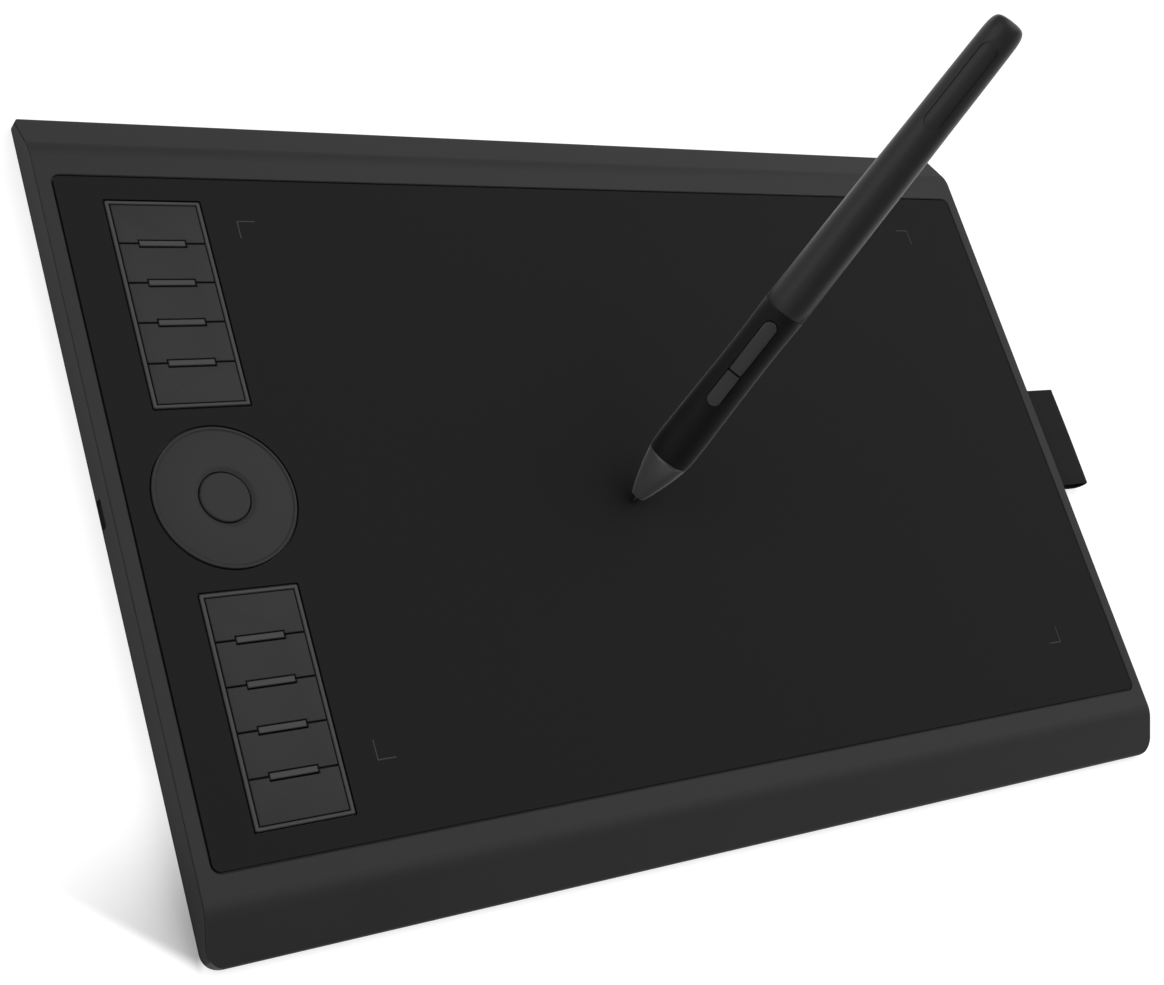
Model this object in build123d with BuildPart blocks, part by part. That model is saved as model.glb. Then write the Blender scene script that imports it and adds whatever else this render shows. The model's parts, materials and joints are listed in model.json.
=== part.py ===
from build123d import *
import math
import os

os.makedirs("parts", exist_ok=True)

# The tablet lies flat on a desk at z = 0. +X runs along its long side from the
# keys to the pen loop, +Y to the back edge, and the origin is under its middle.

# Case
case_length = 360.8
case_depth = 242.0
surface_z = 10.1
case_bottom_z = 0.4
half_length = case_length / 2
half_depth = case_depth / 2
front_corner_radius = 5.2
back_corner_radius = 2.5
edge_round = 0.12
toe_radius = 1.95
slope_reach = 13.3
slope_angle = 26.5
brow_radius = 10.4
foot_radius = 1.6

# End caps, each let into an end of the case with a fine gap round it
cap_thickness = 1.0
cap_lip = 0.2
cap_gap = 0.45

# Inside of the case
cavity_half_length = 178.0
cavity_half_depth = 116.75
cavity_shoulder_z = 4.0
ceiling_z = 8.1
plate_gap = 0.25
plate_top_z = 2.0

# Work surface sheet
panel_length = 351.6
panel_depth = 197.2
panel_corner = 2.3
panel_groove = 0.5
panel_bottom_z = 9.22
panel_top_z = 10.05
recess_floor_z = 9.2

# Key groups
strip_x = -148.2
strip_y = 0.2
group_offset = 58.8
frame_width = 28.4
frame_height = 64.0
frame_wall = 1.05
frame_top_z = 10.25
frame_gap = 0.55
window_gap = 0.2
flange_lip = 1.3
flange_bottom_z = 7.2
flange_top_z = 8.05
rib_width = 1.1
rib_top_z = 8.3
bar_length = 13.6
bar_width = 1.7
bar_top_z = 10.2
keys_per_group = 5
key_width = 25.6
key_gap = 0.45
key_bottom_z = 8.8
key_top_z = 10.15
key_round = 0.25
notch_length = 14.4
notch_front = 1.35
notch_back = 1.15
plunger_bottom_z = 6.75
well_width = frame_width - 2 * frame_wall
well_height = frame_height - 2 * frame_wall
key_pitch = well_height / keys_per_group
key_height = key_pitch - key_gap

# Touch ring and its centre button
ring_radius = 20.7
ring_hole_radius = 7.6
ring_top_z = 10.1
ring_underside_z = 8.6
dish_radius = 9.3
dish_depth = 0.45
lip_width = 0.8
skirt_radius = 18.6
button_radius = 7.25
button_top_z = 10.05
button_crown = 0.12
button_flange_radius = 8.5

# Micro USB socket in the left end
usb_y = 0.8
usb_width = 7.5
usb_bottom_z = 1.15
usb_height = 2.45
usb_depth = 5.2
usb_wall = 0.3
usb_mouth_x = -178.8

# Boards
key_board_bottom_z = usb_bottom_z + usb_height
key_board_top_z = key_board_bottom_z + 1.0
switch_body_top_z = key_board_top_z + 1.3
switch_dome_top_z = key_board_top_z + 1.65
sensor_top_z = 8.0
sensor_bottom_z = 7.1
shield_bottom_z = 6.75
shield_top_z = 7.05
rib_lattice_top_z = 6.7

# Pen loop on the right end
loop_y = 0.1
loop_width = 38.4
loop_reach = 19.95
loop_cloth = 0.7
loop_top_z = 6.2
loop_tail_x = 173.0

# Pen: it stands on its nib, leaning towards the back right
nib_point = Vector(-14.8, -11.9, 10.15)
pen_bearing = 52.0
pen_lean = 56.5
pen_facing = Vector(-0.74, -0.42, 0.52)
pen_length = 178.8
nose_start = 2.6
grip_start = 18.5
barrel_start = 76.0
pen_bore = 4.7
seam = 0.15

# Directions of the pen: up its axis, and out through its side buttons
pen_up = Vector(
    math.cos(math.radians(pen_lean)) * math.cos(math.radians(pen_bearing)),
    math.cos(math.radians(pen_lean)) * math.sin(math.radians(pen_bearing)),
    math.sin(math.radians(pen_lean)),
)
pen_out = (pen_facing - pen_up * pen_facing.dot(pen_up)).normalized()
pen_side = Plane(origin=nib_point, x_dir=pen_out, z_dir=pen_out.cross(pen_up))
pen_axis = Axis(nib_point, pen_up)


def across_pen(height):
    """Plane square to the pen's axis, this far up from the nib's point."""
    return Plane(origin=nib_point + pen_up * height, x_dir=pen_out, z_dir=pen_up)


def facing_pen(distance):
    """Plane along the pen that faces out through its buttons, this far from the axis."""
    return Plane(origin=nib_point + pen_out * distance, x_dir=pen_up, z_dir=pen_out)


group_centres = [(strip_x, strip_y + group_offset), (strip_x, strip_y - group_offset)]
ring_centre = (strip_x, strip_y)
boss_places = [(x, y) for x in (-165.0, -60.0, 60.0, 165.0) for y in (-106.0, 106.0)]
foot_places = [(x, y) for x in (-148.0, 148.0) for y in (-97.0, 97.0)]
foot_size = (46.0, 9.0)
centre_foot_radius = 8.0
foot_recess = 0.4


def case_section(x, inset=0.0):
    """Section across the case here, with sloping sides, drawn this far inside its skin."""
    fall = math.radians(slope_angle)
    brow_y = half_depth - slope_reach - brow_radius * math.tan(fall / 2)
    corner_z = surface_z - slope_reach * math.tan(fall)
    foot_z = corner_z - foot_radius * math.tan(math.pi / 4 - fall / 2)
    brow_centre = (brow_y, surface_z - brow_radius)
    foot_centre = (half_depth - foot_radius, foot_z)
    toe_centre = (half_depth - toe_radius, case_bottom_z + toe_radius)
    with BuildSketch(Plane.YZ.offset(x)) as section:
        with BuildLine():
            toe = CenterArc(toe_centre, toe_radius - inset, -90, 90)
            foot = CenterArc(foot_centre, foot_radius - inset, 0, 90 - slope_angle)
            brow = CenterArc(brow_centre, brow_radius - inset, 90 - slope_angle, slope_angle)
            Line((0, case_bottom_z + inset), toe @ 0)
            Line(toe @ 1, foot @ 0)
            Line(foot @ 1, brow @ 0)
            Line(brow @ 1, (0, surface_z - inset))
            mirror(about=Plane.YZ)
        make_face()
    return section.sketch


# Outline of the case from above
with BuildSketch(Plane.XY) as case_outline:
    Rectangle(case_length, case_depth)
    fillet(case_outline.vertices().group_by(Axis.Y)[0], radius=front_corner_radius)
    fillet(case_outline.vertices().group_by(Axis.Y)[-1], radius=back_corner_radius)
footprint = case_outline.sketch

# Top cover
with BuildPart() as top_cover:
    extrude(case_section(0), amount=half_length, both=True)
    end_faces = top_cover.faces().sort_by(Axis.X)
    fillet(end_faces[0].edges() + end_faces[-1].edges(), radius=edge_round)
    with BuildSketch(Plane.XY) as corners:
        Rectangle(case_length, case_depth)
        add(footprint, mode=Mode.SUBTRACT)
    extrude(amount=surface_z, mode=Mode.SUBTRACT)
    with BuildSketch(Plane.YZ) as cavity_profile:
        with BuildLine() as cavity_outline:
            Polyline(
                (0, case_bottom_z),
                (cavity_half_depth, case_bottom_z),
                (cavity_half_depth, cavity_shoulder_z),
                (cavity_half_depth - 7.25, ceiling_z - 0.5),
                (cavity_half_depth - 11.25, ceiling_z),
                (0, ceiling_z),
            )
            mirror(about=Plane.YZ)
        make_face()
    extrude(amount=cavity_half_length, both=True, mode=Mode.SUBTRACT)
    for side in (-1, 1):
        extrude(
            case_section(side * half_length, cap_lip),
            amount=-side * cap_thickness,
            mode=Mode.SUBTRACT,
        )
    with BuildSketch(Plane.XY.offset(surface_z)) as sheet_recess:
        RectangleRounded(
            panel_length + 2 * panel_groove,
            panel_depth + 2 * panel_groove,
            panel_corner + panel_groove,
        )
    extrude(amount=recess_floor_z - surface_z, mode=Mode.SUBTRACT)
    recess_rim = top_cover.edges().filter_by(
        lambda edge: edge.center().Z > surface_z - 0.01
        and abs(edge.center().Y) < panel_depth / 2 + 1
        and abs(edge.center().X) < panel_length / 2 + 1
    )
    chamfer(recess_rim, length=0.25)
    with BuildSketch(Plane.XY.offset(surface_z)) as windows:
        with Locations(*group_centres):
            Rectangle(frame_width + 2 * window_gap, frame_height + 2 * window_gap)
        with Locations(ring_centre):
            Circle(ring_radius + window_gap)
    extrude(amount=ceiling_z - surface_z, mode=Mode.SUBTRACT)
    with BuildSketch(Plane.XY.offset(plate_top_z)) as bosses:
        with Locations(*boss_places):
            Circle(2.6)
    extrude(amount=ceiling_z - plate_top_z)
    with BuildSketch(Plane.XY.offset(plate_top_z)) as boss_holes:
        with Locations(*boss_places):
            Circle(1.0)
    extrude(amount=4.6, mode=Mode.SUBTRACT)
    with BuildSketch(Plane.YZ.offset(-half_length)) as port:
        with Locations((usb_y, usb_bottom_z + usb_height / 2)):
            RectangleRounded(usb_width + 0.8, usb_height + 0.35, 0.6)
    extrude(amount=half_length - cavity_half_length, mode=Mode.SUBTRACT)
    with BuildSketch(Plane.YZ.offset(half_length)) as loop_slot:
        with Locations((loop_y, loop_top_z - loop_cloth)):
            Rectangle(loop_width + 0.8, 2 * loop_cloth + 0.4)
    extrude(amount=cavity_half_length - half_length, mode=Mode.SUBTRACT)
top_cover.part.label = "top_cover"
export_step(top_cover.part, "parts/top_cover.step")

# End caps: flush plates, the left one open for the USB plug and the right one for the loop
for cap_name, side in (("left_end_cap", -1), ("right_end_cap", 1)):
    with BuildPart() as end_cap:
        extrude(
            case_section(side * half_length, cap_lip + cap_gap), amount=-side * cap_thickness
        )
        extrude(corners.sketch, amount=surface_z, mode=Mode.SUBTRACT)
        with BuildSketch(Plane.YZ.offset(side * half_length)) as cap_opening:
            if side < 0:
                with Locations((usb_y, usb_bottom_z + usb_height / 2)):
                    RectangleRounded(usb_width + 0.8, usb_height + 0.35, 0.6)
            else:
                with Locations((loop_y, loop_top_z - loop_cloth)):
                    Rectangle(loop_width + 0.8, 2 * loop_cloth + 0.4)
        extrude(amount=-side * cap_thickness, mode=Mode.SUBTRACT)
    end_cap.part.label = cap_name
    export_step(end_cap.part, f"parts/{cap_name}.step")

# Bottom cover: a plate let into the underside, with the ribs that carry the sensor
plate_half_length = cavity_half_length - plate_gap
plate_half_depth = cavity_half_depth - plate_gap
shelf_top_z = loop_top_z - 2 * loop_cloth - 0.05
with BuildPart() as bottom_cover:
    with BuildSketch(Plane.XY.offset(case_bottom_z)) as plate:
        Rectangle(2 * plate_half_length, 2 * plate_half_depth)
    extrude(amount=plate_top_z - case_bottom_z)
    chamfer(bottom_cover.faces().sort_by(Axis.Z)[0].edges(), length=0.4)
    with BuildSketch(Plane.XY.offset(plate_top_z)) as lattice:
        with Locations(*[(42.0, y) for y in (-84.0, -42.0, 0.0, 42.0, 84.0)]):
            Rectangle(236.0, 1.2)
        with Locations(*[(x, 0.0) for x in (-76.0, -17.0, 42.0, 101.0, 160.0)]):
            Rectangle(1.2, 169.2)
    extrude(amount=rib_lattice_top_z - plate_top_z)
    with BuildSketch(Plane.XY.offset(plate_top_z)) as board_posts:
        with Locations((strip_x - 11, -80), (strip_x + 11, -80), (strip_x - 11, 82), (strip_x + 11, 82)):
            Circle(2.2)
        with Locations((strip_x - 11, -24), (strip_x + 11, 26)):
            Circle(2.2)
    extrude(amount=key_board_bottom_z - plate_top_z)
    with BuildSketch(Plane.XY.offset(plate_top_z)) as main_posts:
        with Locations((-119, -32), (-95, -32), (-119, 32), (-95, 32)):
            Circle(2.0)
    extrude(amount=1.2)
    with BuildSketch(Plane.XY.offset(plate_top_z)) as loop_shelf:
        with Locations((174.8, loop_y)):
            Rectangle(3.6, loop_width + 4)
    extrude(amount=shelf_top_z - plate_top_z)
    with BuildSketch(Plane.XY.offset(plate_top_z)) as socket_pocket:
        with Locations((-plate_half_length + 2.6, usb_y)):
            Rectangle(5.4, usb_width + 0.8)
    extrude(amount=usb_bottom_z - 0.15 - plate_top_z, mode=Mode.SUBTRACT)
    with BuildSketch(Plane.XY.offset(case_bottom_z)) as foot_recesses:
        with Locations(*foot_places):
            SlotOverall(foot_size[0] + 0.2, foot_size[1] + 0.2)
        Circle(centre_foot_radius + 0.1)
    extrude(amount=foot_recess, mode=Mode.SUBTRACT)
    with BuildSketch(Plane.XY.offset(case_bottom_z)) as screw_heads:
        with Locations(*boss_places):
            Circle(2.2)
    extrude(amount=0.8, mode=Mode.SUBTRACT)
    with BuildSketch(Plane.XY.offset(case_bottom_z)) as screw_holes:
        with Locations(*boss_places):
            Circle(1.15)
    extrude(amount=plate_top_z - case_bottom_z, mode=Mode.SUBTRACT)
bottom_cover.part.label = "bottom_cover"
export_step(bottom_cover.part, "parts/bottom_cover.step")

# Rubber feet: four long ones at the corners and a round one in the middle
with BuildPart() as rubber_feet:
    with BuildSketch(Plane.XY) as foot_outlines:
        with Locations(*foot_places):
            SlotOverall(*foot_size)
        Circle(centre_foot_radius)
    extrude(amount=case_bottom_z + foot_recess)
    fillet(rubber_feet.faces().group_by(Axis.Z)[0].edges(), radius=0.2)
rubber_feet.part.label = "rubber_feet"
export_step(rubber_feet.part, "parts/rubber_feet.step")

# Case screws, all eight in one node
with BuildPart() as case_screws:
    with BuildSketch(Plane.XY.offset(case_bottom_z + 0.1)) as heads:
        with Locations(*boss_places):
            Circle(1.9)
    extrude(amount=0.7)
    with BuildSketch(Plane.XY.offset(case_bottom_z + 0.1)) as shanks:
        with Locations(*boss_places):
            Circle(0.95)
    extrude(amount=5.2)
    with BuildSketch(Plane.XY.offset(case_bottom_z + 0.1)) as drive_slots:
        with Locations(*boss_places):
            Rectangle(2.2, 0.45)
            Rectangle(0.45, 2.2)
    extrude(amount=0.4, mode=Mode.SUBTRACT)
case_screws.part.label = "case_screws"
export_step(case_screws.part, "parts/case_screws.step")

# Work surface: the sheet the pen draws on
with BuildPart() as work_surface:
    with BuildSketch(Plane.XY.offset(panel_bottom_z)) as sheet:
        RectangleRounded(panel_length, panel_depth, panel_corner)
        with Locations(*group_centres):
            RectangleRounded(
                frame_width + 2 * frame_gap,
                frame_height + 2 * frame_gap,
                0.6,
                mode=Mode.SUBTRACT,
            )
        with Locations(ring_centre):
            Circle(ring_radius + frame_gap, mode=Mode.SUBTRACT)
    extrude(amount=panel_top_z - panel_bottom_z)
work_surface.part.label = "work_surface"
export_step(work_surface.part, "parts/work_surface.step")

# Key frames: a thin rim round each group, with a cross-bar on every gap line
gap_lines = [key_pitch * (i - keys_per_group / 2) for i in range(1, keys_per_group)]
for frame_name, centre in zip(("key_frame_upper", "key_frame_lower"), group_centres):
    frame_plane = Plane(origin=(centre[0], centre[1], flange_bottom_z))
    with BuildPart() as key_frame:
        with BuildSketch(frame_plane) as flange:
            RectangleRounded(frame_width + 2 * flange_lip, frame_height + 2 * flange_lip, 1.0)
        extrude(amount=flange_top_z - flange_bottom_z)
        with BuildSketch(frame_plane) as rim:
            RectangleRounded(frame_width, frame_height, 0.5)
        extrude(amount=frame_top_z - flange_bottom_z)
        with BuildSketch(frame_plane) as well:
            Rectangle(well_width, well_height)
        extrude(amount=frame_top_z - flange_bottom_z, mode=Mode.SUBTRACT)
        chamfer(key_frame.faces().sort_by(Axis.Z)[-1].edges(), length=0.22)
        with BuildSketch(frame_plane) as ribs:
            with Locations(*[(0, y) for y in gap_lines]):
                Rectangle(well_width + 0.2, rib_width)
        extrude(amount=rib_top_z - flange_bottom_z)
        with BuildSketch(frame_plane) as bars:
            with Locations(*[(0, y) for y in gap_lines]):
                Rectangle(bar_length, bar_width)
        extrude(amount=bar_top_z - flange_bottom_z)
        bar_tops = key_frame.faces().filter_by(Axis.Z).filter_by(
            lambda face: abs(face.center().Z - bar_top_z) < 0.01
        )
        chamfer(bar_tops.edges(), length=0.18)
    key_frame.part.label = frame_name
    export_step(key_frame.part, f"parts/{frame_name}.step")

# Express keys, numbered from the back edge to the front edge
for number in range(1, 2 * keys_per_group + 1):
    group = (number - 1) // keys_per_group
    place = (number - 1) % keys_per_group
    key_y = group_centres[group][1] + key_pitch * (keys_per_group // 2 - place)
    key_plane = Plane(origin=(strip_x, key_y, key_bottom_z))
    with BuildPart() as key:
        with BuildSketch(key_plane) as key_outline:
            Rectangle(key_width, key_height)
            if place > 0:
                with Locations((0, key_pitch / 2)):
                    Rectangle(notch_length, 2 * notch_front, mode=Mode.SUBTRACT)
            if place < keys_per_group - 1:
                with Locations((0, -key_pitch / 2)):
                    Rectangle(notch_length, 2 * notch_back, mode=Mode.SUBTRACT)
        extrude(amount=key_top_z - key_bottom_z)
        fillet(key.faces().sort_by(Axis.Z)[-1].edges(), radius=key_round)
        with BuildSketch(key_plane) as plunger:
            Rectangle(5.0, 3.6)
        extrude(amount=plunger_bottom_z - key_bottom_z)
    key.part.label = f"key_{number}"
    export_step(key.part, f"parts/key_{number}.step")

# Touch ring: a flat annulus with a thin lip and a shallow dish round the button
ring_side = Plane(origin=(ring_centre[0], ring_centre[1], 0), x_dir=(1, 0, 0), z_dir=(0, -1, 0))
ring_axis = Axis((ring_centre[0], ring_centre[1], 0), (0, 0, 1))
lip_top_z = frame_top_z
with BuildPart() as touch_ring:
    with BuildSketch(ring_side) as ring_profile:
        with BuildLine() as ring_outline:
            Polyline(
                (ring_hole_radius, ring_underside_z),
                (ring_hole_radius, ring_top_z - dish_depth),
                (dish_radius - 0.5, ring_top_z - 0.06),
                (dish_radius, ring_top_z),
                (ring_radius - lip_width - 0.8, ring_top_z),
                (ring_radius - lip_width - 0.25, ring_top_z - 0.1),
                (ring_radius - lip_width, lip_top_z),
                (ring_radius - 0.3, lip_top_z),
                (ring_radius, lip_top_z - 0.3),
                (ring_radius, flange_top_z),
                (ring_radius + flange_lip, flange_top_z),
                (ring_radius + flange_lip, flange_bottom_z),
                (skirt_radius, flange_bottom_z),
                (skirt_radius, ring_underside_z),
                close=True,
            )
        make_face()
    revolve(axis=ring_axis)
touch_ring.part.label = "touch_ring"
export_step(touch_ring.part, "parts/touch_ring.step")

# Centre button of the touch ring
button_flange_top_z = ring_underside_z - 0.2
with BuildPart() as ring_button:
    with BuildSketch(ring_side) as button_profile:
        with BuildLine() as button_outline:
            side = Polyline(
                (0, plunger_bottom_z),
                (2.0, plunger_bottom_z),
                (2.0, button_flange_top_z - 0.5),
                (button_flange_radius, button_flange_top_z - 0.5),
                (button_flange_radius, button_flange_top_z),
                (button_radius, button_flange_top_z),
                (button_radius, button_top_z - 0.45),
            )
            corner = JernArc(side @ 1, tangent=(0, 1), radius=0.4, arc_size=80)
            crown = Bezier(
                corner @ 1,
                (button_radius / 2, button_top_z + button_crown),
                (0, button_top_z + button_crown),
            )
            Line(crown @ 1, (0, plunger_bottom_z))
        make_face()
    revolve(axis=ring_axis)
ring_button.part.label = "ring_button"
export_step(ring_button.part, "parts/ring_button.step")

# Touch ring board: the sensing annulus under the ring
with BuildPart() as ring_board:
    with BuildSketch(Plane(origin=(*ring_centre, ring_underside_z - 1.05))) as ring_board_outline:
        Circle(skirt_radius - 0.6)
        Circle(dish_radius, mode=Mode.SUBTRACT)
    extrude(amount=1.0)
ring_board.part.label = "ring_board"
export_step(ring_board.part, "parts/ring_board.step")

# Key board, with the tab that carries the USB socket
with BuildPart() as key_board:
    with BuildSketch(Plane.XY.offset(key_board_bottom_z)) as key_board_outline:
        with Locations(ring_centre):
            Rectangle(30.0, 178.0)
        with Locations(((-cavity_half_length + 0.4 + strip_x - 15) / 2, usb_y)):
            Rectangle(strip_x - 15 + cavity_half_length - 0.4 + 0.2, 14.0)
    extrude(amount=key_board_top_z - key_board_bottom_z)
key_board.part.label = "key_board"
export_step(key_board.part, "parts/key_board.step")

# Dome switches under the ten keys
key_centres = [
    (strip_x, centre[1] + key_pitch * step) for centre in group_centres for step in (-2, -1, 0, 1, 2)
]
with BuildPart() as key_switches:
    with BuildSketch(Plane.XY.offset(key_board_top_z)) as switch_bodies:
        with Locations(*key_centres):
            RectangleRounded(5.0, 5.0, 0.4)
    extrude(amount=switch_body_top_z - key_board_top_z)
    with BuildSketch(Plane.XY.offset(switch_body_top_z)) as switch_domes:
        with Locations(*key_centres):
            Circle(1.6)
    extrude(amount=switch_dome_top_z - switch_body_top_z)
key_switches.part.label = "key_switches"
export_step(key_switches.part, "parts/key_switches.step")

# Switch under the centre button
with BuildPart() as button_switch:
    with BuildSketch(Plane(origin=(*ring_centre, key_board_top_z))) as button_switch_body:
        RectangleRounded(6.0, 6.0, 0.5)
    extrude(amount=switch_body_top_z - key_board_top_z)
    with BuildSketch(Plane(origin=(*ring_centre, switch_body_top_z))) as button_switch_dome:
        Circle(1.8)
    extrude(amount=switch_dome_top_z - switch_body_top_z)
button_switch.part.label = "button_switch"
export_step(button_switch.part, "parts/button_switch.step")

# USB socket: a folded metal shell, open to the left, and the tongue inside it
usb_plane = Plane(
    origin=(usb_mouth_x, usb_y, usb_bottom_z + usb_height / 2), x_dir=(0, 1, 0), z_dir=(1, 0, 0)
)
with BuildPart() as usb_socket:
    with BuildSketch(usb_plane) as shell_outline:
        shell = Rectangle(usb_width, usb_height)
        chamfer(shell.vertices().group_by(Axis.Y)[0], length=0.7)
    extrude(amount=usb_depth)
    with BuildSketch(usb_plane) as shell_inside:
        inside = Rectangle(usb_width - 2 * usb_wall, usb_height - 2 * usb_wall)
        chamfer(inside.vertices().group_by(Axis.Y)[0], length=0.6)
    extrude(amount=usb_depth - usb_wall, mode=Mode.SUBTRACT)
usb_socket.part.label = "usb_socket"
export_step(usb_socket.part, "parts/usb_socket.step")

with BuildPart() as usb_tongue:
    with BuildSketch(usb_plane.offset(0.8)) as tongue_outline:
        with Locations((0, 0.35)):
            Rectangle(3.7, 0.6)
    extrude(amount=usb_depth - usb_wall - 0.8)
usb_tongue.part.label = "usb_tongue"
export_step(usb_tongue.part, "parts/usb_tongue.step")

# Sensor board under the drawing area, and the shield plate behind it
sensor_x = 20.0
with BuildPart() as sensor_board:
    with BuildSketch(Plane(origin=(sensor_x, 0, sensor_bottom_z))) as sensor_outline:
        RectangleRounded(292.0, 188.0, 2.0)
    extrude(amount=sensor_top_z - sensor_bottom_z)
sensor_board.part.label = "sensor_board"
export_step(sensor_board.part, "parts/sensor_board.step")

with BuildPart() as shield_plate:
    with BuildSketch(Plane(origin=(sensor_x + 2, 0, shield_bottom_z))) as shield_outline:
        RectangleRounded(284.0, 186.0, 2.0)
    extrude(amount=shield_top_z - shield_bottom_z)
shield_plate.part.label = "shield_plate"
export_step(shield_plate.part, "parts/shield_plate.step")

# Main board and its chips
main_board_bottom_z = plate_top_z + 1.2
main_board_top_z = main_board_bottom_z + 1.2
main_centre = (-107.0, 0.0)
with BuildPart() as main_board:
    with BuildSketch(Plane(origin=(*main_centre, main_board_bottom_z))) as main_outline:
        RectangleRounded(30.0, 72.0, 1.5)
    extrude(amount=main_board_top_z - main_board_bottom_z)
main_board.part.label = "main_board"
export_step(main_board.part, "parts/main_board.step")

with BuildPart() as main_board_chips:
    with BuildSketch(Plane(origin=(*main_centre, main_board_top_z))) as chip_outlines:
        with Locations((2, 18)):
            Rectangle(10.0, 10.0)
        with Locations((2, 2), (2, -8)):
            Rectangle(6.0, 5.0)
        with Locations((6, -22)):
            Rectangle(5.0, 11.0)
    extrude(amount=1.2)
main_board_chips.part.label = "main_board_chips"
export_step(main_board_chips.part, "parts/main_board_chips.step")

# Ribbon cable from the key board to the main board
ribbon = 0.3
with BuildPart() as key_ribbon:
    with BuildSketch(Plane.XZ.offset(24.0)) as key_ribbon_side:
        with BuildLine() as key_ribbon_path:
            Polyline(
                (-140.0, key_board_top_z),
                (-131.0, key_board_top_z),
                (-124.0, main_board_top_z),
                (-116.0, main_board_top_z),
                (-116.0, main_board_top_z + ribbon),
                (-124.0, main_board_top_z + ribbon),
                (-131.0, key_board_top_z + ribbon),
                (-140.0, key_board_top_z + ribbon),
                close=True,
            )
        make_face()
    extrude(amount=8.0)
key_ribbon.part.label = "key_ribbon"
export_step(key_ribbon.part, "parts/key_ribbon.step")

# Ribbon cable from the sensor board round to the main board
with BuildPart() as sensor_ribbon:
    with BuildSketch(Plane.XZ.offset(-30.0)) as sensor_ribbon_side:
        with BuildLine() as sensor_ribbon_path:
            Polyline(
                (-121.0, sensor_bottom_z),
                (-126.4, sensor_bottom_z),
                (-128.4, 6.2),
                (-128.4, 5.3),
                (-126.4, main_board_top_z),
                (-116.0, main_board_top_z),
                (-116.0, main_board_top_z + ribbon),
                (-126.3, main_board_top_z + ribbon),
                (-128.1, 5.4),
                (-128.1, 6.1),
                (-126.3, sensor_bottom_z - ribbon),
                (-121.0, sensor_bottom_z - ribbon),
                close=True,
            )
        make_face()
    extrude(amount=22.0)
sensor_ribbon.part.label = "sensor_ribbon"
export_step(sensor_ribbon.part, "parts/sensor_ribbon.step")

# Pen loop: one strip of webbing, folded round, with both tails inside the case.
# Its top layer stays flat and its bottom layer hangs down almost to the desk.
loop_end_x = half_length + loop_reach
loop_low_z = 0.1
with BuildPart() as pen_loop:
    with BuildSketch(Plane.XZ.offset(-loop_y - loop_width / 2)) as loop_side:
        with BuildLine() as loop_outline:
            top_run = Line((loop_tail_x, loop_top_z), (loop_end_x - 2.6, loop_top_z))
            fold = Bezier(
                top_run @ 1,
                (loop_end_x - 0.9, loop_top_z),
                (loop_end_x, loop_top_z - 1.3),
                (loop_end_x, loop_top_z - 2.6),
            )
            heel = Bezier(
                fold @ 1,
                (loop_end_x, loop_low_z + 1.0),
                (loop_end_x - 1.8, loop_low_z),
                (loop_end_x - 5.0, loop_low_z),
            )
            sag = Bezier(
                heel @ 1,
                (loop_end_x - 13.5, loop_low_z),
                (half_length + 3.5, loop_top_z - 2 * loop_cloth),
                (half_length, loop_top_z - 2 * loop_cloth),
            )
            Polyline(
                sag @ 1,
                (loop_tail_x, loop_top_z - 2 * loop_cloth),
                (loop_tail_x, loop_top_z),
            )
        make_face()
        with BuildLine() as loop_inside:
            inner_top = Line(
                (half_length + 1.6, loop_top_z - loop_cloth),
                (loop_end_x - 2.6, loop_top_z - loop_cloth),
            )
            inner_fold = Bezier(
                inner_top @ 1,
                (loop_end_x - 1.3, loop_top_z - loop_cloth),
                (loop_end_x - loop_cloth, loop_top_z - 1.7),
                (loop_end_x - loop_cloth, loop_top_z - 2.6),
            )
            inner_heel = Bezier(
                inner_fold @ 1,
                (loop_end_x - loop_cloth, loop_low_z + 1.4),
                (loop_end_x - 2.2, loop_low_z + loop_cloth),
                (loop_end_x - 5.0, loop_low_z + loop_cloth),
            )
            Bezier(
                inner_heel @ 1,
                (loop_end_x - 12.8, loop_low_z + loop_cloth),
                (half_length + 6.0, loop_top_z - loop_cloth - 0.55),
                (half_length + 1.6, loop_top_z - loop_cloth),
            )
        make_face(mode=Mode.SUBTRACT)
    extrude(amount=loop_width)
pen_loop.part.label = "pen_loop"
export_step(pen_loop.part, "parts/pen_loop.step")

# Bar that clamps the loop's tails onto the shelf
with BuildPart() as loop_clamp:
    with BuildSketch(Plane(origin=(174.8, loop_y, loop_top_z))) as clamp_outline:
        RectangleRounded(3.6, loop_width + 4, 0.8)
    extrude(amount=ceiling_z - 0.1 - loop_top_z)
loop_clamp.part.label = "loop_clamp"
export_step(loop_clamp.part, "parts/loop_clamp.step")

# Pen nose: a hollow cone that guides the nib
with BuildPart() as pen_nose:
    with BuildSketch(pen_side) as nose_profile:
        with BuildLine() as nose_outline:
            nose_curve = Spline(
                (2.2, nose_start),
                (3.45, 5.8),
                (5.4, 12.2),
                (6.75, grip_start - seam),
                tangents=((0.42, 1), (0.18, 1)),
            )
            Polyline(
                nose_curve @ 1,
                (4.3, grip_start - seam),
                (3.0, 12.0),
                (1.1, 8.0),
                (1.1, nose_start),
                (2.2, nose_start),
            )
        make_face()
    revolve(axis=pen_axis)
pen_nose.part.label = "pen_nose"
export_step(pen_nose.part, "parts/pen_nose.step")

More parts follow.
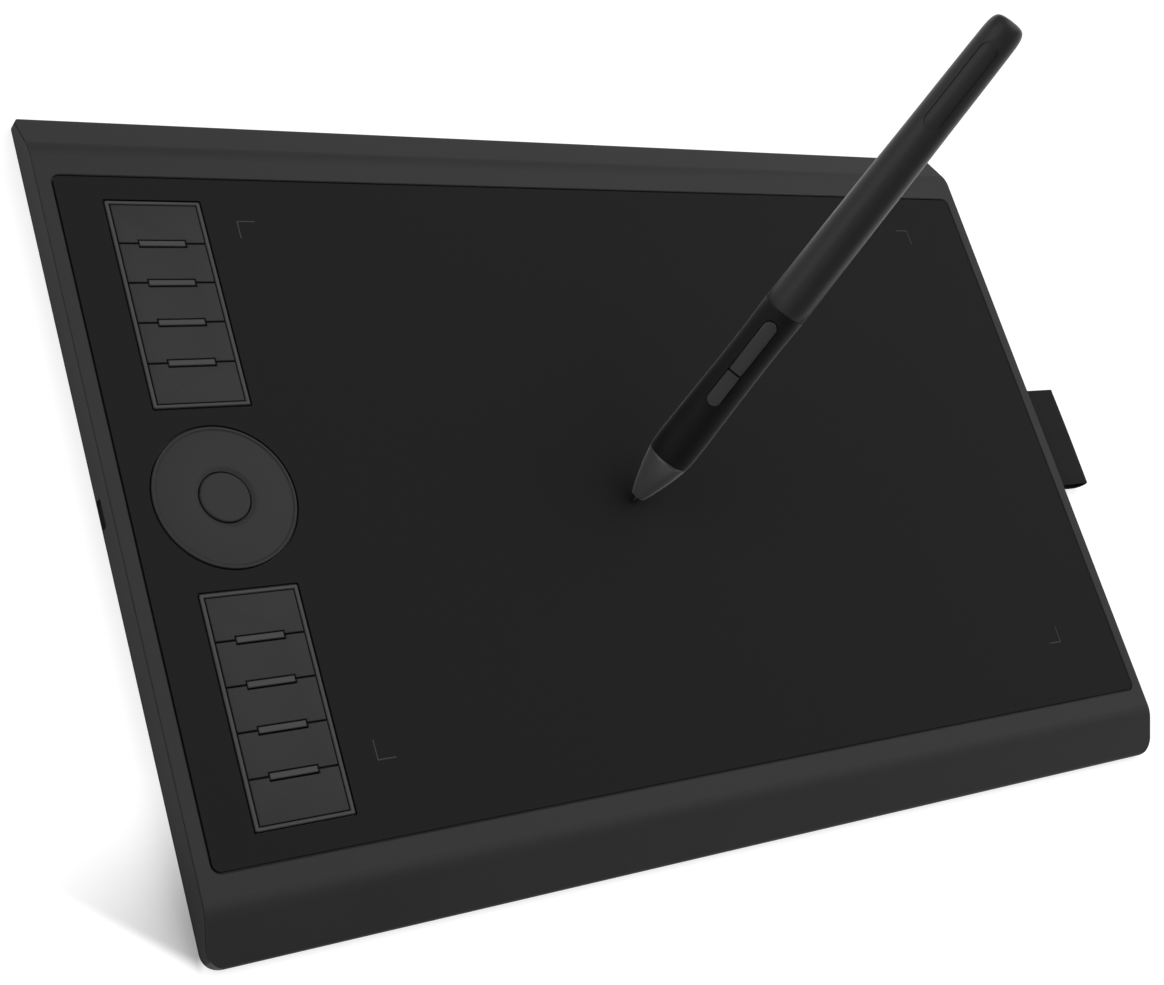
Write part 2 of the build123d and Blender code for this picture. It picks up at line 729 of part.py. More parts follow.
# Pen grip: the soft sleeve, widest just above the nose
button_slot_start = 40.7
button_slot_end = 72.3
button_slot_width = 4.8
with BuildPart() as pen_grip:
    with BuildSketch(pen_side) as grip_profile:
        with BuildLine() as grip_outline:
            grip_curve = Spline(
                (6.8, grip_start),
                (7.1, 23.0),
                (7.0, 33.0),
                (6.75, 46.0),
                (6.6, 61.0),
                (6.85, barrel_start - seam),
                tangents=((0.12, 1), (0.02, 1)),
            )
            Polyline(
                grip_curve @ 1,
                (pen_bore, barrel_start - seam),
                (pen_bore, grip_start),
                (6.8, grip_start),
            )
        make_face()
    revolve(axis=pen_axis)
    with BuildSketch(facing_pen(0)) as button_slot:
        with Locations(((button_slot_start + button_slot_end) / 2, 0)):
            SlotOverall(button_slot_end - button_slot_start, button_slot_width)
    extrude(amount=10.0, mode=Mode.SUBTRACT)
pen_grip.part.label = "pen_grip"
export_step(pen_grip.part, "parts/pen_grip.step")

# Pen barrel: closed at the far end, with a bare oval plaque recess near it
plaque_middle = 156.7
plaque_depth = 0.35
barrel_points = [(6.85, barrel_start), (6.45, 108.0), (6.0, 142.0), (5.6, 172.8)]
barrel_slopes = ((-0.012, 1), (-0.02, 1))
with BuildPart() as pen_barrel:
    with BuildSketch(pen_side) as barrel_profile:
        with BuildLine() as barrel_outline:
            barrel_curve = Spline(*barrel_points, tangents=barrel_slopes)
            crown_curve = Bezier(
                barrel_curve @ 1,
                (5.5, 176.4),
                (5.0, 178.0),
                (3.4, pen_length - 0.35),
            )
            crown_top = Bezier(crown_curve @ 1, (2.3, pen_length), (0, pen_length))
            Polyline(
                crown_top @ 1,
                (0, 170.0),
                (pen_bore - 0.3, 170.0),
                (pen_bore, 150.0),
                (pen_bore, barrel_start),
                barrel_points[0],
            )
        make_face()
    revolve(axis=pen_axis)
    with BuildSketch(pen_side) as floor_profile:
        with BuildLine() as floor_outline:
            floor_points = [(radius - plaque_depth, height) for radius, height in barrel_points]
            floor_curve = Spline(*floor_points, tangents=barrel_slopes)
            Polyline(floor_curve @ 1, (0, 172.8), (0, barrel_start), floor_curve @ 0)
        make_face()
    plaque_floor = revolve(axis=pen_axis, mode=Mode.PRIVATE)
    with BuildSketch(facing_pen(3.0)) as plaque:
        with Locations((plaque_middle, 0)):
            SlotOverall(29.0, 5.6)
    plaque_block = extrude(amount=4.0, mode=Mode.PRIVATE)
    add(plaque_block - plaque_floor, mode=Mode.SUBTRACT)
pen_barrel.part.label = "pen_barrel"
export_step(pen_barrel.part, "parts/pen_barrel.step")

# Side buttons: two caps in one pill-shaped slot, each with a flange inside
button_top_front = 7.25
button_top_rear = 7.15
button_flange_height = 3.0
button_names = ("pen_button_front", "pen_button_rear")
button_spans = ((41.0, 52.7), (53.1, 72.0))
for button_name, (low, high) in zip(button_names, button_spans):
    with BuildPart() as pen_button:
        with BuildSketch(facing_pen(button_flange_height)) as cap_outline:
            with Locations(((button_spans[0][0] + button_spans[1][1]) / 2, 0)):
                SlotOverall(button_spans[1][1] - button_spans[0][0], button_slot_width - 0.5)
            with Locations(((low + high) / 2, 0)):
                Rectangle(high - low, 10.0, mode=Mode.INTERSECT)
        extrude(amount=6.0)
        with BuildSketch(pen_side) as cap_top:
            with BuildLine() as cap_top_line:
                Polyline(
                    (button_top_front, 40.0),
                    (button_top_rear, 73.0),
                    (12.0, 73.0),
                    (12.0, 40.0),
                    close=True,
                )
            make_face()
        extrude(amount=6.0, both=True, mode=Mode.SUBTRACT)
        top_face = pen_button.faces().sort_by(Axis(nib_point, pen_out))[-1]
        fillet(top_face.edges(), radius=0.45)
        with BuildSketch(facing_pen(button_flange_height)) as flange_outline:
            with Locations(((low + high) / 2, 0)):
                Rectangle(high - low - 1.6, 5.6)
        extrude(amount=0.5)
    pen_button.part.label = button_name
    export_step(pen_button.part, f"parts/{button_name}.step")

# Nib: a thin rod that slides in the nose and presses on the sensor
nib_radius = 0.9
with BuildPart() as pen_nib:
    with BuildSketch(pen_side) as nib_profile:
        with BuildLine() as nib_outline:
            tip_curve = Bezier((0, 0), (0.55, 0), (0.75, 0.8), (nib_radius, 2.4))
            Polyline(tip_curve @ 1, (nib_radius, 34.8), (0, 34.8), (0, 0))
        make_face()
    revolve(axis=pen_axis)
pen_nib.part.label = "pen_nib"
export_step(pen_nib.part, "parts/pen_nib.step")

# Ferrite core and the coil wound on it
with BuildPart() as pen_ferrite:
    with BuildSketch(across_pen(19.5)) as ferrite_outline:
        Circle(1.95)
        Circle(1.1, mode=Mode.SUBTRACT)
    extrude(amount=14.5)
pen_ferrite.part.label = "pen_ferrite"
export_step(pen_ferrite.part, "parts/pen_ferrite.step")

with BuildPart() as pen_coil:
    with BuildSketch(across_pen(20.5)) as coil_outline:
        Circle(3.7)
        Circle(2.0, mode=Mode.SUBTRACT)
    extrude(amount=12.0)
pen_coil.part.label = "pen_coil"
export_step(pen_coil.part, "parts/pen_coil.step")

# Chassis: a tube round the coil that carries on as a trough under the board
chassis_radius = 4.55
trough_start = 40.0
trough_end = 146.0
with BuildPart() as pen_chassis:
    with BuildSketch(across_pen(grip_start + 0.4)) as coil_tube:
        Circle(chassis_radius)
        Circle(3.85, mode=Mode.SUBTRACT)
    extrude(amount=trough_start - grip_start - 0.4)
    with BuildSketch(across_pen(trough_start)) as trough:
        Circle(chassis_radius)
        Circle(3.5, mode=Mode.SUBTRACT)
        with Locations((5.2, 0)):
            Rectangle(10.0, 12.0, mode=Mode.SUBTRACT)
    extrude(amount=trough_end - trough_start)
    with BuildSketch(across_pen(trough_end)) as end_stop:
        Circle(chassis_radius)
    extrude(amount=2.0)
pen_chassis.part.label = "pen_chassis"
export_step(pen_chassis.part, "parts/pen_chassis.step")

# Pressure sensor behind the nib
with BuildPart() as pressure_sensor:
    with BuildSketch(across_pen(35.4)) as sensor_disc:
        Circle(3.8)
    extrude(amount=4.2)
pressure_sensor.part.label = "pressure_sensor"
export_step(pressure_sensor.part, "parts/pressure_sensor.step")

# Pen circuit board with its two switches
board_height = 0.25
with BuildPart() as pen_board:
    with BuildSketch(facing_pen(board_height)) as pen_board_outline:
        with Locations((80.5, 0)):
            Rectangle(80.0, 8.2)
    extrude(amount=0.8)
    with BuildSketch(facing_pen(board_height + 0.8)) as pen_chips:
        with Locations((88.0, 0), (102.0, 0.5)):
            Rectangle(6.0, 4.5)
    extrude(amount=0.9)
pen_board.part.label = "pen_board"
export_step(pen_board.part, "parts/pen_board.step")

with BuildPart() as pen_switches:
    with BuildSketch(facing_pen(board_height + 0.8)) as pen_switch_outlines:
        with Locations((46.9, 0), (62.5, 0)):
            Rectangle(4.0, 3.4)
    extrude(amount=1.2)
    with BuildSketch(facing_pen(board_height + 2.0)) as pen_switch_stems:
        with Locations((46.9, 0), (62.5, 0)):
            Circle(0.8)
    extrude(amount=0.35)
pen_switches.part.label = "pen_switches"
export_step(pen_switches.part, "parts/pen_switches.step")
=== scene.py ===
import json
import math

import bmesh
import bpy
from mathutils import Matrix, Vector


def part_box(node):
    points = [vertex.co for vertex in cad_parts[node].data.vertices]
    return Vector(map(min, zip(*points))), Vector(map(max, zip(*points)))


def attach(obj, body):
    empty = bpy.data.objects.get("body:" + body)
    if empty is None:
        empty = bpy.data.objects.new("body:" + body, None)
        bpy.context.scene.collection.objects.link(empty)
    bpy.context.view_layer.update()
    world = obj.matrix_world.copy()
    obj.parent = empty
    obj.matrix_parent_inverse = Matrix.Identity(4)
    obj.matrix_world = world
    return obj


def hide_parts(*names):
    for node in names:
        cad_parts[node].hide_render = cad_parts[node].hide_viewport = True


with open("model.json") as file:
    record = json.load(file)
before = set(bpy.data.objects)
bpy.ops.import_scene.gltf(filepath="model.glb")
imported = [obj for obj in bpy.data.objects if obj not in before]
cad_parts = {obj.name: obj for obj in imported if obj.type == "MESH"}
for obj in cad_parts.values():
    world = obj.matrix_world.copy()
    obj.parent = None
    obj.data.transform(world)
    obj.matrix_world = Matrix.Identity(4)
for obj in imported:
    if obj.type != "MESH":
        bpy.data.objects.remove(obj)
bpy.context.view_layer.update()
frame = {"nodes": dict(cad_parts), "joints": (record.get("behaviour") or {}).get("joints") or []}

# Places and sizes are in millimetres, and MM turns them into metres
MM = 0.001


# Node trees and shader maths

class Flow:
    """A value that changes over a surface, and takes part in sums like a number."""

    def __init__(self, nodes, socket):
        self.nodes = nodes
        self.socket = socket

    def sum(self, operation, *terms):
        settings = {"operation": operation}
        return self.nodes.node("ShaderNodeMath", settings, dict(enumerate(terms)))

    def __add__(self, other):
        return self.sum("ADD", self, other)

    def __radd__(self, other):
        return self.sum("ADD", other, self)

    def __sub__(self, other):
        return self.sum("SUBTRACT", self, other)

    def __rsub__(self, other):
        return self.sum("SUBTRACT", other, self)

    def __mul__(self, other):
        return self.sum("MULTIPLY", self, other)

    def __rmul__(self, other):
        return self.sum("MULTIPLY", other, self)

    def __mod__(self, other):
        return self.sum("FLOORED_MODULO", self, other)

    def __lt__(self, other):
        return self.sum("LESS_THAN", self, other)

    def __gt__(self, other):
        return self.sum("GREATER_THAN", self, other)

    def __abs__(self):
        return self.sum("ABSOLUTE", self)

    def __or__(self, other):
        return self.sum("MAXIMUM", self, other)


class Nodes:
    """An emptied node tree, to which nodes are added by type, settings and sockets."""

    def __init__(self, tree):
        self.tree = tree
        tree.nodes.clear()

    def join(self, value, socket):
        if isinstance(value, Flow):
            self.tree.links.new(value.socket, socket)
        else:
            socket.default_value = value

    def node(self, kind, settings=None, values=None, output=0):
        """Adds a node: its settings first, then the values or links of its sockets."""
        made = self.tree.nodes.new(kind)
        for name, value in (settings or {}).items():
            setattr(made, name, value)
        for key, value in (values or {}).items():
            self.join(value, made.inputs[key])
        return Flow(self, made.outputs[output] if made.outputs else None)

    def easing(self, value, low, high):
        """0 below low and 1 above high, with a soft step between them."""
        settings = {"interpolation_type": "SMOOTHSTEP"}
        return self.node("ShaderNodeMapRange", settings, {0: value, 1: low, 2: high})


def grey(level):
    """Linear colour of the neutral grey that shows at this level, from 0 to 255."""
    share = level / 255
    linear = share / 12.92 if share < 0.04045 else ((share + 0.055) / 1.055) ** 2.4
    return (linear, linear, linear, 1.0)


def tint(red, green, blue):
    """Linear colour of a tint given by its levels on a screen, from 0 to 255."""
    return (grey(red)[0], grey(green)[0], grey(blue)[0], 1.0)


class Finish(Nodes):
    """A finish round one Principled shader, with the patterns that finishes are made of."""

    def __init__(self, name, **constants):
        self.material = bpy.data.materials.new(name)
        self.material.use_nodes = True
        super().__init__(self.material.node_tree)
        surface = self.node("ShaderNodeBsdfPrincipled")
        self.shader = surface.socket.node
        self.node("ShaderNodeOutputMaterial", None, {"Surface": surface})
        self.paint(**constants)
        self.place = self.node("ShaderNodeTexCoord", output="Object")

    def paint(self, **values):
        for name, value in values.items():
            self.join(value, self.shader.inputs[name.replace("_", " ")])
        return self.material

    def along(self, x, y, z):
        """How far a point of the surface lies along this direction, in millimetres."""
        settings = {"operation": "DOT_PRODUCT"}
        values = {0: self.place, 1: (x / MM, y / MM, z / MM)}
        return self.node("ShaderNodeVectorMath", settings, values, output="Value")

    def cloud(self, size, detail=2.0, stretch=(1, 1, 1)):
        """Soft noise from 0 to 1, whose spots are about this many millimetres wide."""
        turned = self.node("ShaderNodeMapping", None, {"Vector": self.place, "Scale": stretch})
        values = {"Vector": turned, "Scale": 1 / (size * MM), "Detail": detail}
        return self.node("ShaderNodeTexNoise", None, values)

    def wave(self, way, pitch):
        """Sine wave from -1 to 1 that repeats at this pitch along a way over the surface."""
        turns = way * (2 * math.pi / pitch)
        return self.node("ShaderNodeMath", {"operation": "SINE"}, {0: turns})

    def spots(self, size):
        """Distance from the nearest of many scattered points about this far apart, 0 to 1."""
        values = {"Vector": self.place, "Scale": 1 / (size * MM)}
        return self.node("ShaderNodeTexVoronoi", None, values)

    def between(self, share, first, second):
        """The colour that lies this share of the way from the first to the second."""
        return self.node(
            "ShaderNodeMix", {"data_type": "RGBA"}, {0: share, 6: first, 7: second}, output=2
        )

    def relief(self, height, depth):
        """Normals of a relief whose height runs from 0 to 1 over this many millimetres."""
        return self.node("ShaderNodeBump", None, {"Height": height, "Distance": depth * MM})


# Finishes of the case and the keys

def moulded(name, level, roughness, specular, grain=0.22, depth=0.008, mottle=0.07, sheen=0.0):
    """Moulded plastic with a fine spark-eroded grain and faintly uneven colour."""
    finish = Finish(name, Specular_IOR_Level=specular, Sheen_Weight=sheen, Sheen_Roughness=0.35)
    grains = finish.cloud(grain, 3.0)
    patches = finish.cloud(38.0, 3.0)
    shade = 0.6 * patches + 0.4 * grains
    colour = finish.between(shade, grey(level * (1 - mottle)), grey(level * (1 + mottle)))
    return finish.paint(
        Base_Color=colour,
        Roughness=roughness + 0.12 * (patches - 0.5),
        Normal=finish.relief(grains, depth),
    )


def drawing_sheet():
    """The drawing sheet: a matt film with a papery tooth, a little glossier in some broad
    patches than in others.
    """
    finish = Finish("drawing_sheet", Specular_IOR_Level=0.06)
    tooth = finish.cloud(0.16, 4.0)
    fibres = finish.cloud(0.9, 3.0, (1.0, 0.35, 1.0))
    patches = finish.cloud(70.0, 2.0)
    shade = 0.45 * tooth + 0.2 * fibres + 0.35 * patches
    return finish.paint(
        Base_Color=finish.between(shade, grey(29), grey(35)),
        Roughness=0.66 + 0.1 * (patches - 0.5) + 0.1 * (tooth - 0.5),
        Normal=finish.relief(0.7 * tooth + 0.3 * fibres, 0.012),
    )


def soft_grip():
    """The pen's sleeve: a soft dull rubber with a fine stipple."""
    finish = Finish(
        "soft_grip", Specular_IOR_Level=0.08, Sheen_Weight=0.3, Sheen_Roughness=0.35
    )
    stipple = finish.spots(0.32)
    dust = finish.cloud(5.0, 4.0)
    colour = finish.between(dust, grey(19), grey(27))
    return finish.paint(
        Base_Color=colour,
        Roughness=0.5 + 0.14 * (dust - 0.5),
        Normal=finish.relief(stipple, 0.015),
    )


def rubber():
    """Feet: black rubber, dull and stippled."""
    finish = Finish("foot_rubber", Specular_IOR_Level=0.25)
    stipple = finish.spots(0.5)
    dust = finish.cloud(7.0, 4.0)
    return finish.paint(
        Base_Color=finish.between(finish.easing(dust, 0.45, 0.8), grey(26), grey(44)),
        Roughness=0.8 + 0.1 * (dust - 0.5),
        Normal=finish.relief(stipple, 0.04),
    )


# Finishes of metals, of what lies inside and of the webbing

def rolled_metal(name, colour, roughness, across=(1.0, 0.04, 1.0)):
    """Sheet metal with fine rolling lines that run one way."""
    finish = Finish(name, Metallic=1.0)
    lines = finish.cloud(0.25, 3.0, across)
    stains = finish.cloud(9.0, 3.0)
    dark = tuple(0.72 * part for part in colour[:3]) + (1.0,)
    return finish.paint(
        Base_Color=finish.between(0.6 * lines + 0.4 * stains, dark, colour),
        Roughness=roughness + 0.18 * (lines - 0.5),
        Normal=finish.relief(lines, 0.01),
    )


def socket_tongue():
    """The socket's tongue: dark plastic with five gilt contacts under it."""
    finish = Finish("socket_tongue", Specular_IOR_Level=0.4)
    contact_pitch = 0.65
    half_contact = 0.16
    gilt_height = 0.08
    step = (finish.along(0, 1, 0) - (USB_Y - contact_pitch / 2)) % contact_pitch
    beside = abs(step - contact_pitch / 2) < half_contact
    underside = finish.along(0, 0, 1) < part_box("usb_tongue")[0].z / MM + gilt_height
    contact = beside * underside
    grains = finish.cloud(0.12, 2.0)
    plastic = finish.between(grains, grey(24), grey(34))
    return finish.paint(
        Base_Color=finish.between(contact, plastic, tint(214, 172, 92)),
        Metallic=contact,
        Roughness=0.55 - 0.25 * contact + 0.1 * (grains - 0.5),
    )


def circuit_board(name, mask_dark, mask_light, pitch):
    """A circuit board: solder mask over copper tracks, with rows of tinned pads."""
    finish = Finish(name, Specular_IOR_Level=0.5)
    x = finish.along(1, 0, 0)
    y = finish.along(0, 1, 0)
    weave = finish.cloud(1.2, 3.0)
    patches = finish.cloud(11.0, 2.0) > 0.5
    half_track = 0.16 * pitch
    half_pad = 0.3 * pitch
    pad_pitch = 4 * pitch
    track_x = abs(x % pitch - pitch / 2) < half_track
    track_y = abs(y % pitch - pitch / 2) < half_track
    track = patches * track_x + (1 - patches) * track_y
    pad_x = abs(x % pad_pitch - pad_pitch / 2) < half_pad
    pad_y = abs(y % pad_pitch - pad_pitch / 2) < half_pad
    pad = pad_x * pad_y
    mask = finish.between(0.7 * track + 0.3 * weave, mask_dark, mask_light)
    return finish.paint(
        Base_Color=finish.between(pad, mask, tint(190, 190, 186)),
        Metallic=pad,
        Roughness=0.42 + 0.12 * (weave - 0.5),
        Normal=finish.relief(track | pad, 0.03),
    )


def chip_epoxy():
    """Chips: black moulded epoxy with a dull top."""
    finish = Finish("chip_epoxy", Specular_IOR_Level=0.4)
    sand = finish.cloud(0.2, 4.0)
    swirl = finish.cloud(3.0, 3.0)
    return finish.paint(
        Base_Color=finish.between(0.5 * sand + 0.5 * swirl, grey(22), grey(34)),
        Roughness=0.55 + 0.2 * (sand - 0.5),
        Normal=finish.relief(sand, 0.01),
    )


def dome_switch(name, node_name, dome_height):
    """Switches: a black moulded body under a bright pressed dome of this height."""
    finish = Finish(name, Specular_IOR_Level=0.5)
    dome = finish.along(0, 0, 1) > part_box(node_name)[1].z / MM - dome_height
    scuffs = finish.cloud(0.5, 4.0)
    body = finish.between(scuffs, grey(26), grey(36))
    bright = finish.between(scuffs, tint(168, 166, 160), tint(198, 196, 190))
    return finish.paint(
        Base_Color=finish.between(dome, body, bright),
        Metallic=dome,
        Roughness=0.5 - 0.2 * dome + 0.15 * (scuffs - 0.5),
    )


def ribbon_film():
    """Flat cables: white film with a grey conductor under each of its ridges."""
    finish = Finish("ribbon_film", Specular_IOR_Level=0.5)
    conductor_pitch = 0.5
    ridge_foot, ridge_top = 0.17, 0.1
    step = finish.along(0, 1, 0) % conductor_pitch
    ridge = finish.easing(abs(step - conductor_pitch / 2), ridge_foot, ridge_top)
    haze = finish.cloud(2.5, 3.0)
    film = finish.between(haze, tint(206, 208, 210), tint(222, 223, 222))
    return finish.paint(
        Base_Color=finish.between(ridge, film, tint(148, 150, 152)),
        Roughness=0.35 + 0.15 * (haze - 0.5),
        Normal=finish.relief(ridge, 0.05),
    )


def coil_winding():
    """The pen's coil: enamelled copper wire in turns square to the pen."""
    finish = Finish("coil_winding", Specular_IOR_Level=0.5, Coat_Roughness=0.15)
    wire = 0.16
    step = finish.along(*PEN_UP) % wire
    crest = finish.easing(abs(step - wire / 2), wire / 2, 0.0)
    uneven = finish.cloud(0.6, 3.0)
    copper = finish.between(uneven, tint(150, 78, 40), tint(190, 108, 60))
    return finish.paint(
        Base_Color=finish.between(crest, tint(70, 34, 20), copper),
        Metallic=0.85 * crest,
        Roughness=0.3 + 0.15 * (uneven - 0.5),
        Coat_Weight=0.5 * crest,
        Normal=finish.relief(crest, 0.04),
    )


def ferrite_ceramic():
    """The coil's core: a dark fired ceramic with pits."""
    finish = Finish("ferrite_ceramic", Specular_IOR_Level=0.4)
    pits = finish.easing(finish.spots(0.4), 0.1, 0.35)
    clouds = finish.cloud(1.5, 4.0)
    return finish.paint(
        Base_Color=finish.between(0.5 * pits + 0.5 * clouds, grey(38), grey(62)),
        Roughness=0.6 + 0.2 * (clouds - 0.5),
        Normal=finish.relief(pits, 0.02),
    )


def loop_webbing(width, length):
    """Webbing in a fine plain weave, with a tighter selvage along both edges."""
    finish = Finish(
        "loop_webbing", Specular_IOR_Level=0.1, Sheen_Weight=0.05, Sheen_Roughness=0.5
    )
    yarn_pitch = 0.62
    cord_pitch = 0.5
    selvage_width = 1.5
    layout = finish.node("ShaderNodeTexCoord", output="UV")
    run = finish.node("ShaderNodeSeparateXYZ", None, {0: layout}) * length
    cross = finish.node("ShaderNodeSeparateXYZ", None, {0: layout}, output=1) * width
    weave = 0.5 + 0.5 * finish.wave(run, yarn_pitch) * finish.wave(cross, yarn_pitch)
    inset = (width / 2) - abs(cross - width / 2)
    selvage = inset < selvage_width
    cords = 0.5 + 0.5 * finish.wave(inset, cord_pitch)
    height = weave * (1 - selvage) + cords * selvage
    fuzz = finish.cloud(0.35, 4.0)
    fade = finish.cloud(9.0, 3.0)
    shade = 0.5 * height + 0.25 * fuzz + 0.25 * fade
    return finish.paint(
        Base_Color=finish.between(shade, grey(24), grey(39)),
        Roughness=0.85 + 0.1 * (fuzz - 0.5),
        Normal=finish.relief(height, 0.09),
    )


# Modelling, as by hand

def deselect():
    bpy.ops.object.select_all(action="DESELECT")


def opened(name):
    """Names the new primitive, puts its place in its mesh and opens it, nothing selected."""
    piece = bpy.context.object
    piece.name = name
    piece.data.name = name
    bpy.ops.object.transform_apply(location=True, rotation=True, scale=True)
    bpy.ops.object.mode_set(mode="EDIT")
    bpy.ops.mesh.select_mode(type="VERT")
    bpy.ops.mesh.select_all(action="DESELECT")
    return piece


def pick(kind, test):
    """Selects those verts, edges or faces of the open mesh whose middle and normal pass."""
    bpy.ops.mesh.select_all(action="DESELECT")
    bpy.ops.mesh.select_mode(type=kind)
    mesh = bmesh.from_edit_mesh(bpy.context.object.data)
    items = {"VERT": mesh.verts, "EDGE": mesh.edges, "FACE": mesh.faces}[kind]
    for item in items:
        corners = [item] if kind == "VERT" else item.verts
        middle = sum((corner.co for corner in corners), Vector()) / len(corners)
        normal = item.normal if kind == "FACE" else None
        item.select_set(test(middle, normal) if kind == "FACE" else test(middle))
    mesh.select_flush_mode()
    bmesh.update_edit_mesh(bpy.context.object.data)


def pull(x=0.0, y=0.0, z=0.0):
    """Extrudes what is selected by this much."""
    bpy.ops.mesh.extrude_region_move(TRANSFORM_OT_translate={"value": (x, y, z)})


def cut(place, normal, **keep):
    """Cuts all of the open mesh by a plane."""
    bpy.ops.mesh.select_all(action="SELECT")
    bpy.ops.mesh.bisect(plane_co=place, plane_no=normal, **keep)


def closed_up():
    """Merges doubled points and turns every face of the open mesh outwards."""
    bpy.ops.mesh.select_all(action="SELECT")
    bpy.ops.mesh.remove_doubles(threshold=0.002)
    bpy.ops.mesh.normals_make_consistent(inside=False)
    bpy.ops.object.mode_set(mode="OBJECT")


def bezier(handles, steps):
    """Points along a Bezier curve of any degree, its ends among them."""
    curve = []
    for step in range(steps + 1):
        row = [Vector(handle) for handle in handles]
        while len(row) > 1:
            pairs = zip(row, row[1:])
            row = [start.lerp(end, step / steps) for start, end in pairs]
        curve.append(row[0])
    return curve


def swelling(points, first_slope, last_slope, steps=5):
    """A smooth outline through these (radius, height) points, with the slopes of its ends."""
    inner = [
        (after[0] - before[0]) / (after[1] - before[1])
        for before, after in zip(points, points[2:])
    ]
    slopes = [first_slope, *inner, last_slope]
    outline = [Vector(points[0])]
    for start, end, leaving, meeting in zip(points, points[1:], slopes, slopes[1:]):
        third = (end[1] - start[1]) / 3
        handles = [
            start,
            (start[0] + leaving * third, start[1] + third),
            (end[0] - meeting * third, end[1] - third),
            end,
        ]
        outline += bezier(handles, steps)[1:]
    return outline


def turned(name, outline, sides=96):
    """Turns an outline of (radius, height) points into a closed shape on the Z axis.

    An end without a radius closes on the axis, and otherwise the last ring meets the first."""
    starts_closed = outline[0][0] == 0
    first = outline[1] if starts_closed else outline[0]
    deselect()
    bpy.ops.mesh.primitive_circle_add(
        vertices=sides,
        radius=first[0],
        fill_type="TRIFAN" if starts_closed else "NOTHING",
        location=(0, 0, first[1]),
    )
    piece = opened(name)
    if starts_closed:
        pick("VERT", lambda place: place.xy.length < first[0] / 2)
        bpy.ops.transform.translate(value=(0, 0, outline[0][1] - first[1]))
        bpy.ops.mesh.select_all(action="SELECT")
        bpy.ops.mesh.region_to_loop()
    else:
        bpy.ops.mesh.select_all(action="SELECT")
    rings = outline[2:] if starts_closed else [*outline[1:], outline[0]]
    radius, height = first
    for next_radius, next_height in rings:
        pull(z=next_height - height)
        if next_radius == 0:
            bpy.ops.mesh.merge(type="CENTER")
            break
        if next_radius != radius:
            scale = next_radius / radius
            bpy.ops.transform.resize(value=(scale, scale, 1.0))
        radius, height = next_radius, next_height
    closed_up()
    return piece


def pill(name, low, high, width, bottom, top, sides=48):
    """A block with a pill's outline, long on X from low to high, and upright on Z."""
    deselect()
    radius = width / 2
    bpy.ops.mesh.primitive_circle_add(
        vertices=sides,
        radius=radius / math.cos(math.pi / sides),
        fill_type="NGON",
        location=(low + radius, 0, bottom),
        rotation=(0, 0, math.pi / sides),
    )
    piece = opened(name)
    pick("VERT", lambda place: place.x > low + radius)
    bpy.ops.transform.translate(value=(high - low - width, 0, 0))
    bpy.ops.mesh.select_all(action="SELECT")
    pull(z=top - bottom)
    closed_up()
    return piece


def worked(piece, kind, **settings):
    """Adds a modifier with these settings, and applies it."""
    deselect()
    piece.select_set(True)
    bpy.context.view_layer.objects.active = piece
    bpy.ops.object.modifier_add(type=kind)
    modifier = piece.modifiers[-1]
    for name, value in settings.items():
        setattr(modifier, name, value)
    bpy.ops.object.modifier_apply(modifier=modifier.name)


def carved(piece, cutter, operation="DIFFERENCE"):
    """Carves the cutter out of the piece, and removes the cutter."""
    worked(piece, "BOOLEAN", object=cutter, operation=operation, solver="EXACT")
    bpy.data.objects.remove(cutter)


def eased(piece, width, degrees=40, segments=2):
    """Rounds those edges of the piece that turn by more than this angle."""
    worked(
        piece,
        "BEVEL",
        width=width,
        segments=segments,
        limit_method="ANGLE",
        angle_limit=math.radians(degrees),
    )


def settled(piece, body, finish, stands_for=(), placing=Matrix.Identity(4), smooth=32):
    """Puts a piece in its place in metres, gives it its finish and body, and hides the CAD nodes
    it stands for.
    """
    deselect()
    piece.select_set(True)
    bpy.context.view_layer.objects.active = piece
    piece.matrix_world = Matrix.Scale(MM, 4) @ placing
    bpy.ops.object.transform_apply(location=True, rotation=True, scale=True)
    bpy.ops.object.shade_smooth_by_angle(angle=math.radians(smooth))
    piece.data.materials.clear()
    piece.data.materials.append(finish)
    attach(piece, body)
    if stands_for:
        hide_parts(*stands_for)


# The camera

CAMERA_PLACE = Vector((-367.8, -170.02, 450.25)) * MM
CAMERA_LOOK = Vector((0.58127, 0.28203, -0.76327))
CAMERA_UP = Vector((0.06986, 0.91725, 0.39213))
SENSOR_WIDTH = 36.0
LENS = 58.82


def add_camera():
    camera = bpy.data.cameras.new("camera")
    camera.sensor_width = SENSOR_WIDTH
    camera.lens = LENS
    holder = bpy.data.objects.new("camera", camera)
    bpy.context.scene.collection.objects.link(holder)
    right = CAMERA_LOOK.cross(CAMERA_UP).normalized()
    up = right.cross(CAMERA_LOOK).normalized()
    turn = Matrix((right, up, -CAMERA_LOOK.normalized())).transposed()
    holder.matrix_world = Matrix.Translation(CAMERA_PLACE) @ turn.to_4x4()
    bpy.context.scene.camera = holder


add_camera()

# Driving sizes of the case and the keys, and the height of the plungers under keys and button
SHEET_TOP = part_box("work_surface")[1].z / MM
STRIP_X = -148.2
RING_PLACING = Matrix.Translation((STRIP_X, 0.2, 0.0))
USB_Y = 0.8
KEYS_PER_GROUP = 5
KEY_TOP = 10.15
KEY_BOTTOM = 8.8
KEY_WIDTH = 25.6
KEY_GAP = 0.45
KEY_ROUND = 0.25
NOTCH_LENGTH = 14.4
NOTCH_BACK_EDGE = 1.35
NOTCH_FRONT_EDGE = 1.15
PLUNGER_BOTTOM = 6.75
PLUNGER_SIZE = (5.0, 3.6)

